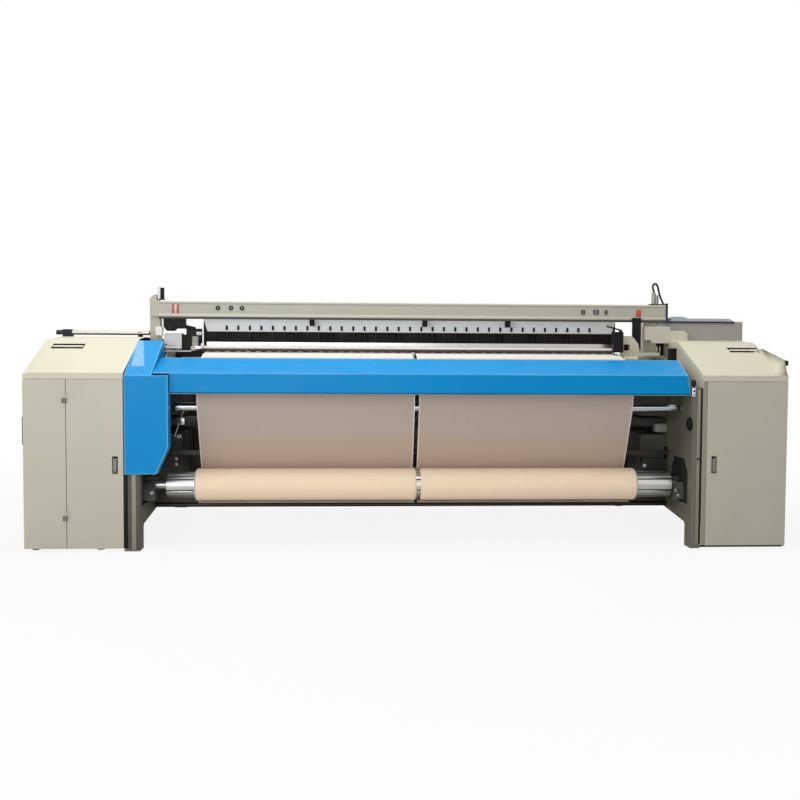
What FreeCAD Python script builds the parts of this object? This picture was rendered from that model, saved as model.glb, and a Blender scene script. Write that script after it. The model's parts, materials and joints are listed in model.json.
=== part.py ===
import FreeCAD, Part
import math
import os
import re

import Sketcher

# Wide air-jet power loom that weaves two cloths side by side.
# Millimetres. X runs from the left cabinet to the right one as the weaver sees them, Y runs from the
# weaver to the back, Z is up and the floor is Z = 0. The origin is on the floor, in the middle.
# A "depth" is counted from the front plane of the cabinets, which lies half_depth in front of the
# origin, so every side view is drawn in depth and height.

DIMENSIONS = {
    # overall
    "half_width": 2375, "half_depth": 900, "skin": 4, "gap": 2,
    # side frames
    "left_frame_outer": -1774, "left_frame_inner": -1680,
    "right_frame_inner": 1767, "right_frame_outer": 1825,
    "post_front": 10, "post_rear": 120, "under_front": 150, "under_rear": 190, "under_slope_end": 520,
    "rear_leg_front": 1704, "frame_rear": 1814, "post_top": 1020, "frame_top": 1210, "frame_top_front": 620,
    "frame_top_rear": 1180, "tail_top": 1010, "tail_start": 1280, "tail_end": 1700, "recess_depth": 26,
    # cabinets
    "right_cabinet_inner": 1829, "floor_gap": 18, "cabinet_rear": 1500, "rear_panel_low": 60,
    "left_base_end": -1890, "right_base_start": 2130, "door_depth": 22, "door_seam": -2118,
    "lip_bottom": 1060, "lip_top": 1097, "slope_rear": 479, "knee": 1313, "roof_front": 655, "roof": 1328,
    "left_bevel_down": 8, "left_bevel_across": 50,
    "ear_width": 75, "ear_bevel": 26, "ear_step": 22, "ear_step_top": 1112, "ear_front": 54, "ear_top": 1198,
    "ear_rear": 385, "side_front": 30, "door_bottom": 20, "right_door_inner": 1857, "foot_radius": 25,
    "handle_reach": 45,
    "vent_front": 330, "vent_pitch": 46, "vent_depth": 24, "left_vent_start": -2298, "right_vent_start": 2137,
    "vent_width": 191, "hinge_low": 192, "hinge_high": 913, "hinge_radius": 6.5, "hinge_pin": 3,
    "hinge_depth": -7.5, "hinge_half": 30, "latch_width": 24, "latch_low": 485, "latch_height": 98,
    "latch_pivot": 566, "latch_pivot_depth": 7, "left_latch": -1837, "right_latch": 1894,
    "pivot_pin": 4, "pivot_inset": 12, "pivot_depth": 8,
    # blue covers
    "end_left": -1769, "end_right": -1505, "end_top": 1084, "end_low": 477, "end_chamfer_x": -1579,
    "end_chamfer_z": 639, "end_box_rear": 90, "end_slope_right": -1606, "end_slope_rear": 450,
    "end_slope_top": 1300, "cover_left": -1500, "cover_right": 1765, "cover_front": 40, "cover_low": 968,
    "cover_edge": 1098, "cover_rear": 350, "cover_top": 1190, "cover_lip": 36, "cover_bevel": 22,
    # top rail
    "rail_left": -1691, "rail_right": 1811, "rail_front": 690, "rail_rear": 745, "rail_low": 1455,
    "rail_top": 1575, "rail_ledge": 13, "rail_ledge_out": 7, "rail_wall": 5, "rail_round": 9,
    "left_column": -1751, "left_column_width": 60, "right_column": 1674, "right_column_width": 90,
    "column_front": 700, "column_depth": 80, "column_seam": 4, "column_foot": 12,
    "column_block_top": 1583, "column_joint": 1465,
    # things on and under the rail
    "signal_depth": 717, "left_signal": -1694, "right_signal": 1733, "conduit_radius": 7,
    "lamp_radius": 10.5, "buzzer_radius": 13.5,
    "guide_width": 34, "guide_height": 43, "guide_depth": 30,
    # roll, rollers and their places (depth, height, radius)
    "roll_depth": 280, "roll_height": 376, "roll_radius": 104, "tube_radius": 84,
    "roller_wall": 7, "end_disc": 14,
    "tube_left": -1558, "tube_right": 1710, "roll_left": -1380, "roll_right": 1481, "roll_split": 39,
    "roll_gap": 26, "roll_journal": 30, "take_up_depth": 290, "take_up_height": 1040, "take_up_radius": 80,
    "take_up_left": -1480, "take_up_right": 1590, "press_radius": 30, "press_gap": 2.4, "drive_journal": 25,
    "small_journal": 12, "chrome_depth": 200, "chrome_height": 881, "chrome_radius": 26,
    "chrome_left": -1490, "chrome_right": 1725, "running_fit": 0.08,
    "journal_in_wall": 40, "cross_tube_depth": 470, "cross_tube_height": 215, "cross_tube_radius": 14,
    # breast beam and cloth
    "breast_front": 400, "breast_rear": 500, "breast_low": 1050, "breast_top": 1165, "breast_wall": 8,
    "nose_depth": 372, "nose_height": 1184, "nose_radius": 12, "fell_depth": 552, "fell_height": 1232,
    "cloth_thickness": 1, "cloth_clearance": 0.4, "left_cloth_left": -1357, "left_cloth_right": 21,
    "right_cloth_left": 47, "right_cloth_right": 1432,
    # temple tube and what stands at its ends
    "temple_left": -1380, "temple_right": 1388, "temple_depth": 535, "temple_height": 1253,
    "temple_radius": 17.5,
    # sley and reed
    "sley_depth": 640, "sley_height": 760, "sley_journal": 34, "sword_half": 22, "sley_left": -1400,
    "sley_right": 1475, "beam_low": 1120, "beam_high": 1160, "beam_half": 24, "sword_thickness": 22,
    "sword_count": 6, "reed_left": -1360, "reed_right": 1434, "reed_half": 6, "reed_foot": 1148,
    "dent_low": 1172, "dent_high": 1270, "reed_cap_low": 1273, "reed_cap_top": 1298, "reed_cap_half": 12,
    "dent_count": 40, "dent_share": 0.6,
    # heald frames
    "heald_left": -1400, "heald_right": 1475, "heald_front": 762, "heald_pitch": 15, "heald_thickness": 9,
    "slat_top": 1455, "slat_low": 1370, "lower_slat_top": 1100, "lower_slat_low": 1015, "stay_width": 26,
    "heald_count": 12, "heald_share": 0.45, "heald_half": 2,
    "lift_rod_low": 560, "lift_rod_half": 8, "lift_rod_inset": 420,
    # warp
    "beam_depth": 1394, "beam_height": 640, "flange_radius": 400, "barrel_radius": 90, "yarn_radius": 330,
    "yarn_left": -1405, "yarn_right": 1480, "flange_width": 22, "warp_journal": 40,
    "back_rest_depth": 1500, "back_rest_height": 1130, "back_rest_radius": 62, "back_rest_left": -1560,
    "back_rest_right": 1640, "back_rest_journal": 20, "bracket_width": 24, "warp_end": 850,
    "warp_end_height": 1226, "drop_front": 960, "drop_pitch": 34, "drop_low": 1240, "drop_height": 30,
    # drive
    "main_depth": 900, "main_height": 720, "main_radius": 170, "motor_height": 270, "motor_radius": 125,
    "pulley_left": -1970, "pulley_width": 70, "motor_pulley_radius": 60, "shaft_radius": 30,
    "motor_shaft": 19, "belt_width": 60, "belt_thickness": 8, "belt_clearance": 0.4,
}

doc = FreeCAD.newDocument("power_loom")
sheet = doc.addObject("Spreadsheet::Sheet", "dims")
for row, (alias, size) in enumerate(DIMENSIONS.items(), start=1):
    sheet.set(f"A{row}", alias)
    sheet.set(f"B{row}", str(size))
    sheet.setAlias(f"B{row}", alias)
doc.recompute()

SUBPARTS = []


# ---------------------------------------------------------------- helpers

def bound(expression):
    """Turn plain dimension names into references to the sheet."""
    return re.sub(r"[a-z][a-z_]*", lambda word: "dims." + word.group(0)
                  if word.group(0) in DIMENSIONS else word.group(0), str(expression))


def bind(item, **sizes):
    for name, expression in sizes.items():
        item.setExpression(name, bound(expression))
    return item


def place(item, x="0", depth="0", z="0"):
    item.setExpression("Placement.Base.x", bound(x))
    item.setExpression("Placement.Base.y", bound(f"({depth}) - half_depth"))
    item.setExpression("Placement.Base.z", bound(z))
    return item


def subpart(name, item):
    """Name a finished piece; its label is the name of its node."""
    item.Label = name
    SUBPARTS.append(item)
    return item


def size_of(alias):
    return float(sheet.get(alias))


def block(x, depth, z, length, width, height):
    box = doc.addObject("Part::Box", "Block")
    bind(box, Length=length, Width=width, Height=height)
    return place(box, x, depth, z)


ALONG_X = FreeCAD.Rotation(FreeCAD.Vector(0, 1, 0), 90)
ALONG_Y = FreeCAD.Rotation(FreeCAD.Vector(1, 0, 0), -90)


def rod(x, depth, z, radius, length, direction=ALONG_X):
    cylinder = doc.addObject("Part::Cylinder", "Rod")
    bind(cylinder, Radius=radius, Height=length)
    cylinder.Placement = FreeCAD.Placement(FreeCAD.Vector(0, 0, 0), direction)
    return place(cylinder, x, depth, z)


def upright(x, depth, z, radius, height):
    return rod(x, depth, z, radius, height, FreeCAD.Rotation())


def prism(x, depth, z, radius, height, sides):
    solid = doc.addObject("Part::Prism", "Prism")
    solid.Polygon = sides
    bind(solid, Circumradius=radius, Height=height)
    return place(solid, x, depth, z)


def joined(*pieces):
    fusion = doc.addObject("Part::MultiFuse", "Joined")
    fusion.Shapes = list(pieces)
    fusion.Refine = True
    return fusion


def flat_sided(sections):
    """A solid through a row of polygons with equal numbers of corners, skinned with flat triangles."""
    faces = [Part.Face(Part.makePolygon(ends + ends[:1])) for ends in (sections[0], sections[-1])]
    for near, far in zip(sections, sections[1:]):
        for i, corner in enumerate(near):
            j = (i + 1) % len(near)
            for triangle in ([corner, near[j], far[j]], [corner, far[j], far[i]]):
                faces.append(Part.Face(Part.makePolygon(triangle + triangle[:1])))
    feature = doc.addObject("Part::Feature", "FlatSided")
    feature.Shape = Part.makeSolid(Part.makeShell(faces))
    return feature


def separate(*pieces):
    """Several solids that stay apart in one node."""
    group = doc.addObject("Part::Compound", "Group")
    group.Links = list(pieces)
    return group


def without(base, *tools):
    cut = doc.addObject("Part::Cut", "Cut")
    cut.Base = base
    cut.Tool = tools[0] if len(tools) == 1 else separate(*tools)
    return cut


def origin_plane(body, role):
    return next(feature for feature in body.Origin.OriginFeatures if feature.Role == role)


def sketch_on(body, plane, offset="0"):
    sketch = body.newObject("Sketcher::SketchObject", "Outline")
    sketch.AttachmentSupport = (origin_plane(body, plane), "")
    sketch.MapMode = "FlatFace"
    sketch.setExpression("AttachmentOffset.Base.z", bound(offset))
    return sketch


def fix_point(sketch, line, end, across, up):
    for kind, expression in (("DistanceX", across), ("DistanceY", up)):
        index = sketch.addConstraint(Sketcher.Constraint(kind, -1, 1, line, end, 50.0))
        sketch.setExpression(f"Constraints[{index}]", bound(expression))


def outline(sketch, corners):
    """Close a polygon through the corners, each fixed by two bound distances."""
    count = len(corners)
    start = sketch.GeometryCount
    ring = [FreeCAD.Vector(100 * math.cos(2 * math.pi * i / count), 100 * math.sin(2 * math.pi * i / count))
            for i in range(count)]
    for i in range(count):
        sketch.addGeometry(Part.LineSegment(ring[i], ring[(i + 1) % count]), False)
    for i in range(count):
        following = start + (i + 1) % count
        sketch.addConstraint(Sketcher.Constraint("Coincident", start + i, 2, following, 1))
    for i, (across, up) in enumerate(corners):
        fix_point(sketch, start + i, 1, across, up)


def ring(sketch, across, up, radius):
    index = sketch.addGeometry(Part.Circle(FreeCAD.Vector(50, 50, 0), FreeCAD.Vector(0, 0, 1), 10), False)
    fix_point(sketch, index, 3, across, up)
    size = sketch.addConstraint(Sketcher.Constraint("Radius", index, 10.0))
    sketch.setExpression(f"Constraints[{size}]", bound(radius))


def new_body(x="0", depth="0", z="0"):
    return place(doc.addObject("PartDesign::Body", "Body"), x, depth, z)


def pad(body, sketch, length, reverse=False):
    feature = body.newObject("PartDesign::Pad", "Pad")
    feature.Profile = sketch
    feature.Reversed = reverse
    bind(feature, Length=length)
    sketch.Visibility = False
    return feature


def pocket(body, sketch, length, reverse=False):
    """Cut the sketch into the body and stop if nothing was cut."""
    doc.recompute()
    before = body.Shape.Volume
    feature = body.newObject("PartDesign::Pocket", "Pocket")
    feature.Profile = sketch
    feature.Reversed = reverse
    bind(feature, Length=length)
    doc.recompute()
    if body.Shape.Volume > before - 1:
        raise RuntimeError(f"a pocket in {body.Label} cuts nothing")
    return feature


def pattern(body, feature, axis_role, length, count):
    """Repeat a feature along one axis of its body."""
    repeat = body.newObject("PartDesign::LinearPattern", "Row")
    repeat.Originals = [feature]
    repeat.Direction = (origin_plane(body, axis_role), [""])
    bind(repeat, Length=length, Occurrences=count)
    body.Tip = repeat
    return repeat


def side_view(x, width, *loops):
    """A plate drawn in depth and height, width thick from x towards the right."""
    body = new_body(x)
    sketch = sketch_on(body, "YZ_Plane")
    for corners in loops:
        outline(sketch, corners)
    pad(body, sketch, width)
    return body


def front_view(depth, thickness, *loops):
    """A plate drawn in X and height, thickness deep from its front at depth."""
    body = new_body("0", depth)
    sketch = sketch_on(body, "XZ_Plane")
    for corners in loops:
        outline(sketch, corners)
    pad(body, sketch, thickness, reverse=True)
    return body


def rectangle(low_across, low_up, high_across, high_up):
    return [(low_across, low_up), (high_across, low_up), (high_across, high_up), (low_across, high_up)]


def octagon(across, up, radius):
    return [(f"{across} + {radius} * {round(math.cos(math.radians(angle)), 4)}",
             f"{up} + {radius} * {round(math.sin(math.radians(angle)), 4)}") for angle in range(22, 382, 45)]


def turned(depth, height, *profile):
    """A turned piece on an axis along X; the profile is a row of X and radius pairs."""
    body = new_body("0", depth, height)
    sketch = sketch_on(body, "XZ_Plane")
    first, last = profile[0], profile[-1]
    outline(sketch, [(first[0], "0"), *profile, (last[0], "0")])
    turn = body.newObject("PartDesign::Revolution", "Turned")
    turn.Profile = sketch
    turn.ReferenceAxis = (sketch, ["H_Axis"])
    turn.Angle = 360
    return body


def edges_along(shape, direction, accept):
    """Names of the straight edges (along a direction, if given) whose middle point is accepted."""
    names = []
    for number, edge in enumerate(shape.Edges, start=1):
        if not isinstance(edge.Curve, Part.Line):
            continue
        run = edge.Vertexes[-1].Point - edge.Vertexes[0].Point
        aligned = direction is None or abs(run.normalize().dot(direction)) > 0.999
        if aligned and accept(edge.CenterOfMass):
            names.append(f"Edge{number}")
    return names


def soften(body, kind, size, direction, accept):
    """Round (Fillet) or bevel (Chamfer) edges of a body, picked on its finished shape."""
    doc.recompute()
    tip = body.Tip
    names = edges_along(tip.Shape, direction, accept)
    feature = body.newObject(f"PartDesign::{kind}", kind)
    feature.Base = (tip, names)
    bind(feature, **{"Radius" if kind == "Fillet" else "Size": size})
    return feature


X_AXIS, Y_AXIS, Z_AXIS = FreeCAD.Vector(1, 0, 0), FreeCAD.Vector(0, 1, 0), FreeCAD.Vector(0, 0, 1)


# ---------------------------------------------------------------- ribbons that run round rollers

def path_round(stops):
    """Tangent points and arcs of a path that passes round stops (depth, height, radius, turn).

    turn is +1 where the path goes round its stop counter-clockwise as drawn in depth and height,
    and -1 where it goes round clockwise. A stop of radius 0 is a plain end of the path.
    """
    headings = []
    for (y1, z1, r1, t1), (y2, z2, r2, t2) in zip(stops, stops[1:]):
        reach = math.hypot(y2 - y1, z2 - z1)
        headings.append(math.atan2(z2 - z1, y2 - y1) - math.asin((t2 * r2 - t1 * r1) / reach))
    return headings


def shifted_edges(stops, headings, shift):
    """Edges of the path moved sideways by shift, to its left if shift is positive."""
    def touch(stop, heading):
        y, z, radius, turn = stop
        side = shift - turn * radius
        return FreeCAD.Vector(0, y - side * math.sin(heading), z + side * math.cos(heading))

    edges = []
    for i, heading in enumerate(headings):
        edges.append(Part.LineSegment(touch(stops[i], heading), touch(stops[i + 1], heading)).toShape())
        if i + 1 < len(headings):
            y, z, radius, turn = stops[i + 1]
            sweep = (turn * (headings[i + 1] - heading)) % (2 * math.pi)
            middle = touch(stops[i + 1], heading + turn * sweep / 2)
            edges.append(Part.Arc(touch(stops[i + 1], heading), middle,
                                  touch(stops[i + 1], headings[i + 1])).toShape())
    return edges


def ribbon(stops, thickness, left, right):
    """A flat band of the given thickness along the path, from left to right in X."""
    headings = path_round(stops)
    near = shifted_edges(stops, headings, thickness / 2)
    far = shifted_edges(stops, headings, -thickness / 2)

    def end_point(edge, index):
        return edge.Vertexes[index].Point

    caps = [Part.LineSegment(end_point(near[0], 0), end_point(far[0], 0)).toShape(),
            Part.LineSegment(end_point(near[-1], -1), end_point(far[-1], -1)).toShape()]
    wire = Part.Wire(Part.__sortEdges__(near + far + caps))
    solid = Part.Face(wire).extrude(FreeCAD.Vector(right - left, 0, 0))
    feature = doc.addObject("Part::Feature", "Ribbon")
    feature.Shape = solid
    feature.Placement = FreeCAD.Placement(FreeCAD.Vector(left, -size_of("half_depth"), 0), FreeCAD.Rotation())
    return feature


# ---------------------------------------------------------------- side frames

BORES = [("take_up_depth", "take_up_height", "drive_journal"),
         ("take_up_depth - take_up_radius - press_radius - press_gap", "take_up_height", "small_journal"),
         ("chrome_depth", "chrome_height", "small_journal"),
         ("sley_depth", "sley_height", "sley_journal"),
         ("main_depth", "main_height", "shaft_radius")]


def side_frame(name, outer, inner):
    """A cast wall with its front post, under-edge, rear leg, bearing bores and recesses."""
    left = min(size_of(outer), size_of(inner)) == size_of(outer)
    wall = side_view(outer if left else inner, f"abs({outer} - {inner})", [
        ("post_front", "0"), ("post_rear", "0"), ("post_rear", "under_front"),
        ("under_slope_end", "under_rear"), ("rear_leg_front", "under_rear"), ("rear_leg_front", "0"),
        ("frame_rear", "0"), ("frame_rear", "tail_top - 120"), ("tail_end", "tail_top"),
        ("tail_start", "tail_top"), ("frame_top_rear", "frame_top"), ("frame_top_front", "frame_top"),
        ("380", "1140"), ("post_rear - 50", "post_top"), ("post_front", "post_top")])
    inner_face = f"abs({outer} - {inner})" if left else "0"
    recess = sketch_on(wall, "YZ_Plane", inner_face)
    outline(recess, [("post_rear - 40", "270"), ("385", "270"), ("385", "470"), ("335", "556"),
                     ("post_rear + 25", "556"), ("post_rear - 40", "470")])
    outline(recess, [("under_slope_end - 40", "270"), ("1180", "270"), ("1180", "600"),
                     ("under_slope_end - 40", "600")])
    pocket(wall, recess, "recess_depth", reverse=not left)
    through = BORES[-1] if left else BORES[0]
    holes = sketch_on(wall, "YZ_Plane", inner_face)
    passage = sketch_on(wall, "YZ_Plane", "0")
    for bore in BORES:
        depth, height, radius = bore
        ring(passage if bore == through else holes, depth, height, f"{radius} + running_fit")
    pocket(wall, holes, f"abs({outer} - {inner}) - 6", reverse=not left)
    pocket(wall, passage, f"abs({outer} - {inner})", reverse=True)
    soften(wall, "Fillet", "24", X_AXIS, lambda p: p.y < size_of("post_rear") + 700 and 100 < p.z < 200)
    return subpart(name, wall)


side_frame("left_side_frame", "left_frame_outer", "left_frame_inner")
side_frame("right_side_frame", "right_frame_outer", "right_frame_inner")


# ---------------------------------------------------------------- cross members

INSIDE = "right_frame_inner - left_frame_inner"

beam = side_view("left_frame_inner", INSIDE,
                 rectangle("breast_front", "breast_low", "breast_rear", "breast_top"),
                 rectangle("breast_front + breast_wall", "breast_low + breast_wall",
                           "breast_rear - breast_wall", "breast_top - breast_wall"))
bar_web = side_view("cover_left + 20", "1590 - cover_left - 20", [
    ("nose_depth - 4", "nose_height - 6"), ("breast_front + 40", "breast_top"),
    ("breast_front + 60", "breast_top"),
    ("nose_depth + 4", "nose_height + 6")])
bar_nose = rod("cover_left + 20", "nose_depth", "nose_height", "nose_radius", "1590 - cover_left - 20")
subpart("breast_beam", joined(beam, bar_web, bar_nose))

front_tube = rod("left_frame_inner", "cross_tube_depth", "cross_tube_height", "cross_tube_radius", INSIDE)
lower_apron = block("left_frame_inner", "cross_tube_depth + cross_tube_radius + 2", "cross_tube_height - 12",
                    INSIDE, "6", "120")
guard_bar = block("left_frame_inner", "430", "552", INSIDE, "20", "30")
rear_beam = side_view("left_frame_inner", INSIDE, rectangle("865", "420", "955", "540"),
                      rectangle("873", "428", "947", "532"))
switch_boxes = [block("left_frame_inner", "460", "468", "160", "50", "76"),
                block("1590", "460", "442", "right_frame_inner - 1590", "50", "84")]
subpart("cross_members", separate(front_tube, lower_apron, guard_bar, rear_beam, *switch_boxes))


# ---------------------------------------------------------------- cabinets

LID_DEPTH = "lip_top - lip_bottom"


def under_lid(front, low="floor_gap + skin"):
    """Outline of a cabinet wall that ends just below the lid, from its front edge back."""
    return [(front, low), ("cabinet_rear", low),
            ("cabinet_rear", f"roof - ({LID_DEPTH}) - gap"), ("roof_front", f"roof - ({LID_DEPTH}) - gap"),
            ("slope_rear", f"knee - ({LID_DEPTH}) - gap"), (front, "lip_bottom - gap")]


def roof_height(depth):
    """Height of a cabinet's top at a depth: the slope, a gentler stretch and the flat roof."""
    points = [(0, size_of("lip_top")), (size_of("slope_rear"), size_of("knee")),
              (size_of("roof_front"), size_of("roof")), (size_of("cabinet_rear"), size_of("roof"))]
    for (near, low), (far, high) in zip(points, points[1:]):
        if depth <= far:
            return low + (depth - near) * (high - low) / (far - near)
    return size_of("roof")


def folded_lid(left, width, outer_rim, outer_on_left, vent_start):
    """A folded sheet lid: front lip, slope and flat roof, with two louvre slots in the slope."""
    def line_above(front, rear, rise):
        return [(front, f"lip_bottom + {rise}"), ("slope_rear", f"knee - ({LID_DEPTH}) + {rise}"),
                ("roof_front", f"roof - ({LID_DEPTH}) + {rise}"), (rear, f"roof - ({LID_DEPTH}) + {rise}")]

    lid = side_view(left, width, line_above("0", "cabinet_rear", "0")
                    + line_above("0", "cabinet_rear", LID_DEPTH)[::-1])
    hollow = sketch_on(lid, "YZ_Plane", outer_rim if outer_on_left else "skin")
    outline(hollow, line_above("skin", "cabinet_rear - skin", "(0 - 20)")
            + line_above("skin", "cabinet_rear - skin", f"({LID_DEPTH} - skin)")[::-1])
    pocket(lid, hollow, f"{width} - skin - {outer_rim}", reverse=True)
    slots = sketch_on(lid, "XY_Plane", "lip_top")
    for front in ("vent_front", "vent_front + vent_pitch"):
        start = f"{vent_start} - ({left})"
        outline(slots, rectangle(start, front, f"{start} + vent_width", f"{front} + vent_depth"))
    pocket(lid, slots, "400", reverse=True)
    return lid


def bevel_outer_edge(lid, outer_x, down, across):
    """Bevel the lid's long outer edge, along the slope and the roof."""
    bevel = soften(lid, "Chamfer", down, None,
                   lambda p: abs(p.x - outer_x) < 1e-3 and abs(p.z - roof_height(p.y)) < 1)
    bevel.ChamferType = "Two distances"
    bind(bevel, Size2=across)
    return bevel


LID_WIDTH = "left_frame_outer + half_width"
left_lid = folded_lid("-half_width", LID_WIDTH, "left_bevel_across + 6", True, "left_vent_start")
bevel_outer_edge(left_lid, 0, "left_bevel_down", "left_bevel_across")
subpart("left_top_cover", left_lid)

RIGHT_LID_WIDTH = "half_width - right_cabinet_inner"
right_lid = folded_lid("right_cabinet_inner", RIGHT_LID_WIDTH, "ear_width", False, "right_vent_start")
bevel_outer_edge(right_lid, size_of("half_width") - size_of("right_cabinet_inner"), "ear_bevel", "ear_bevel")


def ear_section(x, corners):
    return [FreeCAD.Vector(x, depth - size_of("half_depth"), z) for depth, z in corners]


ear = flat_sided([
    ear_section(size_of("half_width") - size_of("ear_width"), [
        (0, size_of("lip_bottom") + 10), (0, size_of("lip_top") - 2),
        (size_of("ear_step"), size_of("lip_top") + 6),
        (size_of("ear_front"), size_of("lip_top") + 20), (size_of("ear_rear"), size_of("knee") - 46),
        (size_of("ear_rear"), size_of("knee") - 66)]),
    ear_section(size_of("half_width"), [
        (0, size_of("lip_bottom") + 10), (0, size_of("lip_top")),
        (size_of("ear_step"), size_of("ear_step_top")),
        (size_of("ear_front"), size_of("ear_top")), (size_of("ear_rear"), size_of("knee") - 43),
        (size_of("ear_rear"), size_of("knee") - 63)])])
subpart("right_top_cover", joined(right_lid, ear))

subpart("left_outer_panel", side_view("-half_width", "skin", under_lid("side_front")))
subpart("right_outer_panel", side_view("half_width - skin", "skin", under_lid("side_front")))

inner_wall = side_view("right_cabinet_inner", "skin", under_lid("skin + 1", "under_rear"))
wall_passage = sketch_on(inner_wall, "YZ_Plane")
ring(wall_passage, "take_up_depth", "take_up_height", "drive_journal + 8")
pocket(inner_wall, wall_passage, "skin", reverse=True)
front_fold = block("right_cabinet_inner", "0", "floor_gap + skin",
                   "right_door_inner - gap - right_cabinet_inner", "skin + 1",
                   "lip_bottom - gap - floor_gap - skin")
subpart("right_inner_panel", joined(inner_wall, front_fold))

WALL_HEIGHT = "roof - lip_top + lip_bottom - gap - rear_panel_low"
subpart("cabinet_rear_panels", separate(
    block("-half_width + skin", "cabinet_rear - skin", "rear_panel_low",
          "left_frame_outer + half_width - skin", "skin", WALL_HEIGHT),
    block("right_cabinet_inner + skin", "cabinet_rear - skin", "rear_panel_low",
          "half_width - right_cabinet_inner - 2 * skin", "skin", WALL_HEIGHT)))


def base_plate(left, right):
    plate = block(left, "door_depth + 6", "floor_gap", f"{right} - ({left})",
                  "cabinet_rear - door_depth - 6", "skin")
    feet = [prism(x, depth, "0", "foot_radius", "floor_gap + 1", sides=6)
            for x in (f"{left} + 45", f"{right} - 45") for depth in ("90", "cabinet_rear - 60")]
    return joined(plate, *feet)


subpart("cabinet_base_plates", separate(base_plate("-half_width", "left_base_end"),
                                        base_plate("right_base_start", "half_width")))


def tray(left, right):
    """A door or front panel: one folded sheet, open at its back."""
    outer = block(left, "0", "door_bottom", f"{right} - ({left})", "door_depth",
                  "lip_bottom - gap - door_bottom")
    inner = block(f"{left} + skin", "skin", "door_bottom + skin", f"{right} - ({left}) - 2 * skin",
                  "door_depth", "lip_bottom - gap - door_bottom - 2 * skin")
    return without(outer, inner)


subpart("left_front_panel", tray("-half_width", "door_seam - gap"))


def latch_window(left):
    return block(left, "-1", "latch_low", "latch_width", "skin + 2", "latch_height")


def latch_frame(left):
    """A raised rim round the latch window, welded to the back of the door skin."""
    rim = block(f"{left} - 5", "skin", "latch_low - 5", "latch_width + 10", "12", "latch_height + 10")
    hole = block(left, "skin - 1", "latch_low", "latch_width", "14", "latch_height")
    pin_bore = rod(f"{left} + latch_width - 1", "latch_pivot_depth", "latch_pivot", "3 + running_fit", "4.5")
    return without(rim, hole, pin_bore)


def hinge_barrel(z, bored):
    barrel = prism("door_seam", "hinge_depth", z, "hinge_radius", "hinge_half", sides=8)
    if not bored:
        return barrel
    return without(barrel, upright("door_seam", "hinge_depth", f"{z} - 1", "hinge_pin + running_fit",
                                   "hinge_half + 2"))


def hinge_leaf(x, z, length):
    return block(x, "-3", z, length, "3", "hinge_half")


door_leaves = []
for hinge_z in ("hinge_low", "hinge_high"):
    upper = f"{hinge_z} + hinge_half + 0.5"
    door_leaves += [hinge_barrel(upper, True), hinge_leaf("door_seam + 4", upper, "20")]
left_panel = without(tray("door_seam + gap", "left_frame_outer - gap"), latch_window("left_latch"))
subpart("left_door", joined(left_panel, latch_frame("left_latch"), *door_leaves))

fixed_hinges = []
for hinge_z in ("hinge_low", "hinge_high"):
    pin = upright("door_seam", "hinge_depth", hinge_z, "hinge_pin", "2 * hinge_half")
    leaf = hinge_leaf("door_seam - 24", hinge_z, "24")
    fixed_hinges.append(joined(hinge_barrel(hinge_z, False), pin, leaf))
PIVOT_X = "half_width - pivot_inset"
lower_pivot = joined(upright(PIVOT_X, "pivot_depth", "floor_gap - 3", "pivot_pin", "14"),
                     block(f"{PIVOT_X} - 8", "1", "floor_gap - 4", "16", "50", "4"))
upper_pivot = joined(upright(PIVOT_X, "pivot_depth", "lip_bottom - 10", "pivot_pin", "10"),
                     block(f"{PIVOT_X} - 8", "1", "lip_bottom - 1.5", "16", "20", "1.5"))
fixed_hinges += [lower_pivot, upper_pivot]
subpart("door_hinges", separate(*fixed_hinges))

right_panel = without(tray("right_door_inner", "half_width"), latch_window("right_latch"),
                      upright(PIVOT_X, "pivot_depth", "0", "pivot_pin + running_fit", "lip_top"))
subpart("right_door", joined(right_panel, latch_frame("right_latch")))


def latch(name, left):
    """A flush lever that hangs from a pin near its upper end and pulls out at the bottom."""
    lever = block(f"{left} + 2.5", "-3", "latch_low + 4", "latch_width - 5", "6", "latch_height - 13")
    finger = block(f"{left} + 5", "-9", "latch_low + 10", "latch_width - 10", "7", "16")
    lug = block(f"{left} + 2.5", "2", "latch_pivot - 8", "latch_width - 5", "9", "16")
    pin = rod(f"{left} + 6", "latch_pivot_depth", "latch_pivot", "3", "latch_width - 3")
    return subpart(name, joined(lever, finger, lug, pin))


latch("left_latch", "left_latch")
latch("right_latch", "right_latch")


grab_bar = block("-half_width - handle_reach", "110", "633", "16", "26", "199")
grab_ends = [block("-half_width - handle_reach", "110", z, "handle_reach", "26", "26")
             for z in ("633", "806")]
ear_catch = block("half_width", "34", "1158", "handle_reach", "22", "38")
subpart("side_handles", separate(joined(grab_bar, *grab_ends), ear_catch))


# ---------------------------------------------------------------- blue covers

end_cover = front_view("0", "end_box_rear", [
    ("end_left", "end_low"), ("end_chamfer_x", "end_low"), ("end_right", "end_chamfer_z"),
    ("end_right", "end_top"), ("end_left", "end_top")])
wedge = sketch_on(end_cover, "YZ_Plane", "end_left")
outline(wedge, [("0", "end_top - 14"), ("breast_front", "end_top - 14"), ("breast_front", "breast_top"),
                ("end_slope_rear", "breast_top"), ("end_slope_rear", "end_slope_top"),
                ("end_slope_rear - 40", "end_slope_top"), ("0", "end_top")])
pad(end_cover, wedge, "end_slope_right - end_left")
inside = sketch_on(end_cover, "XZ_Plane", "-skin")
outline(inside, [("end_left - 5", "end_low - 5"), ("end_chamfer_x - 3", "end_low - 5"),
                 ("end_right - skin", "end_chamfer_z + 3"), ("end_right - skin", "end_top - skin"),
                 ("end_left - 5", "end_top - skin")])
pocket(end_cover, inside, "end_box_rear")
inside_wedge = sketch_on(end_cover, "YZ_Plane", "end_left - 5")
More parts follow.
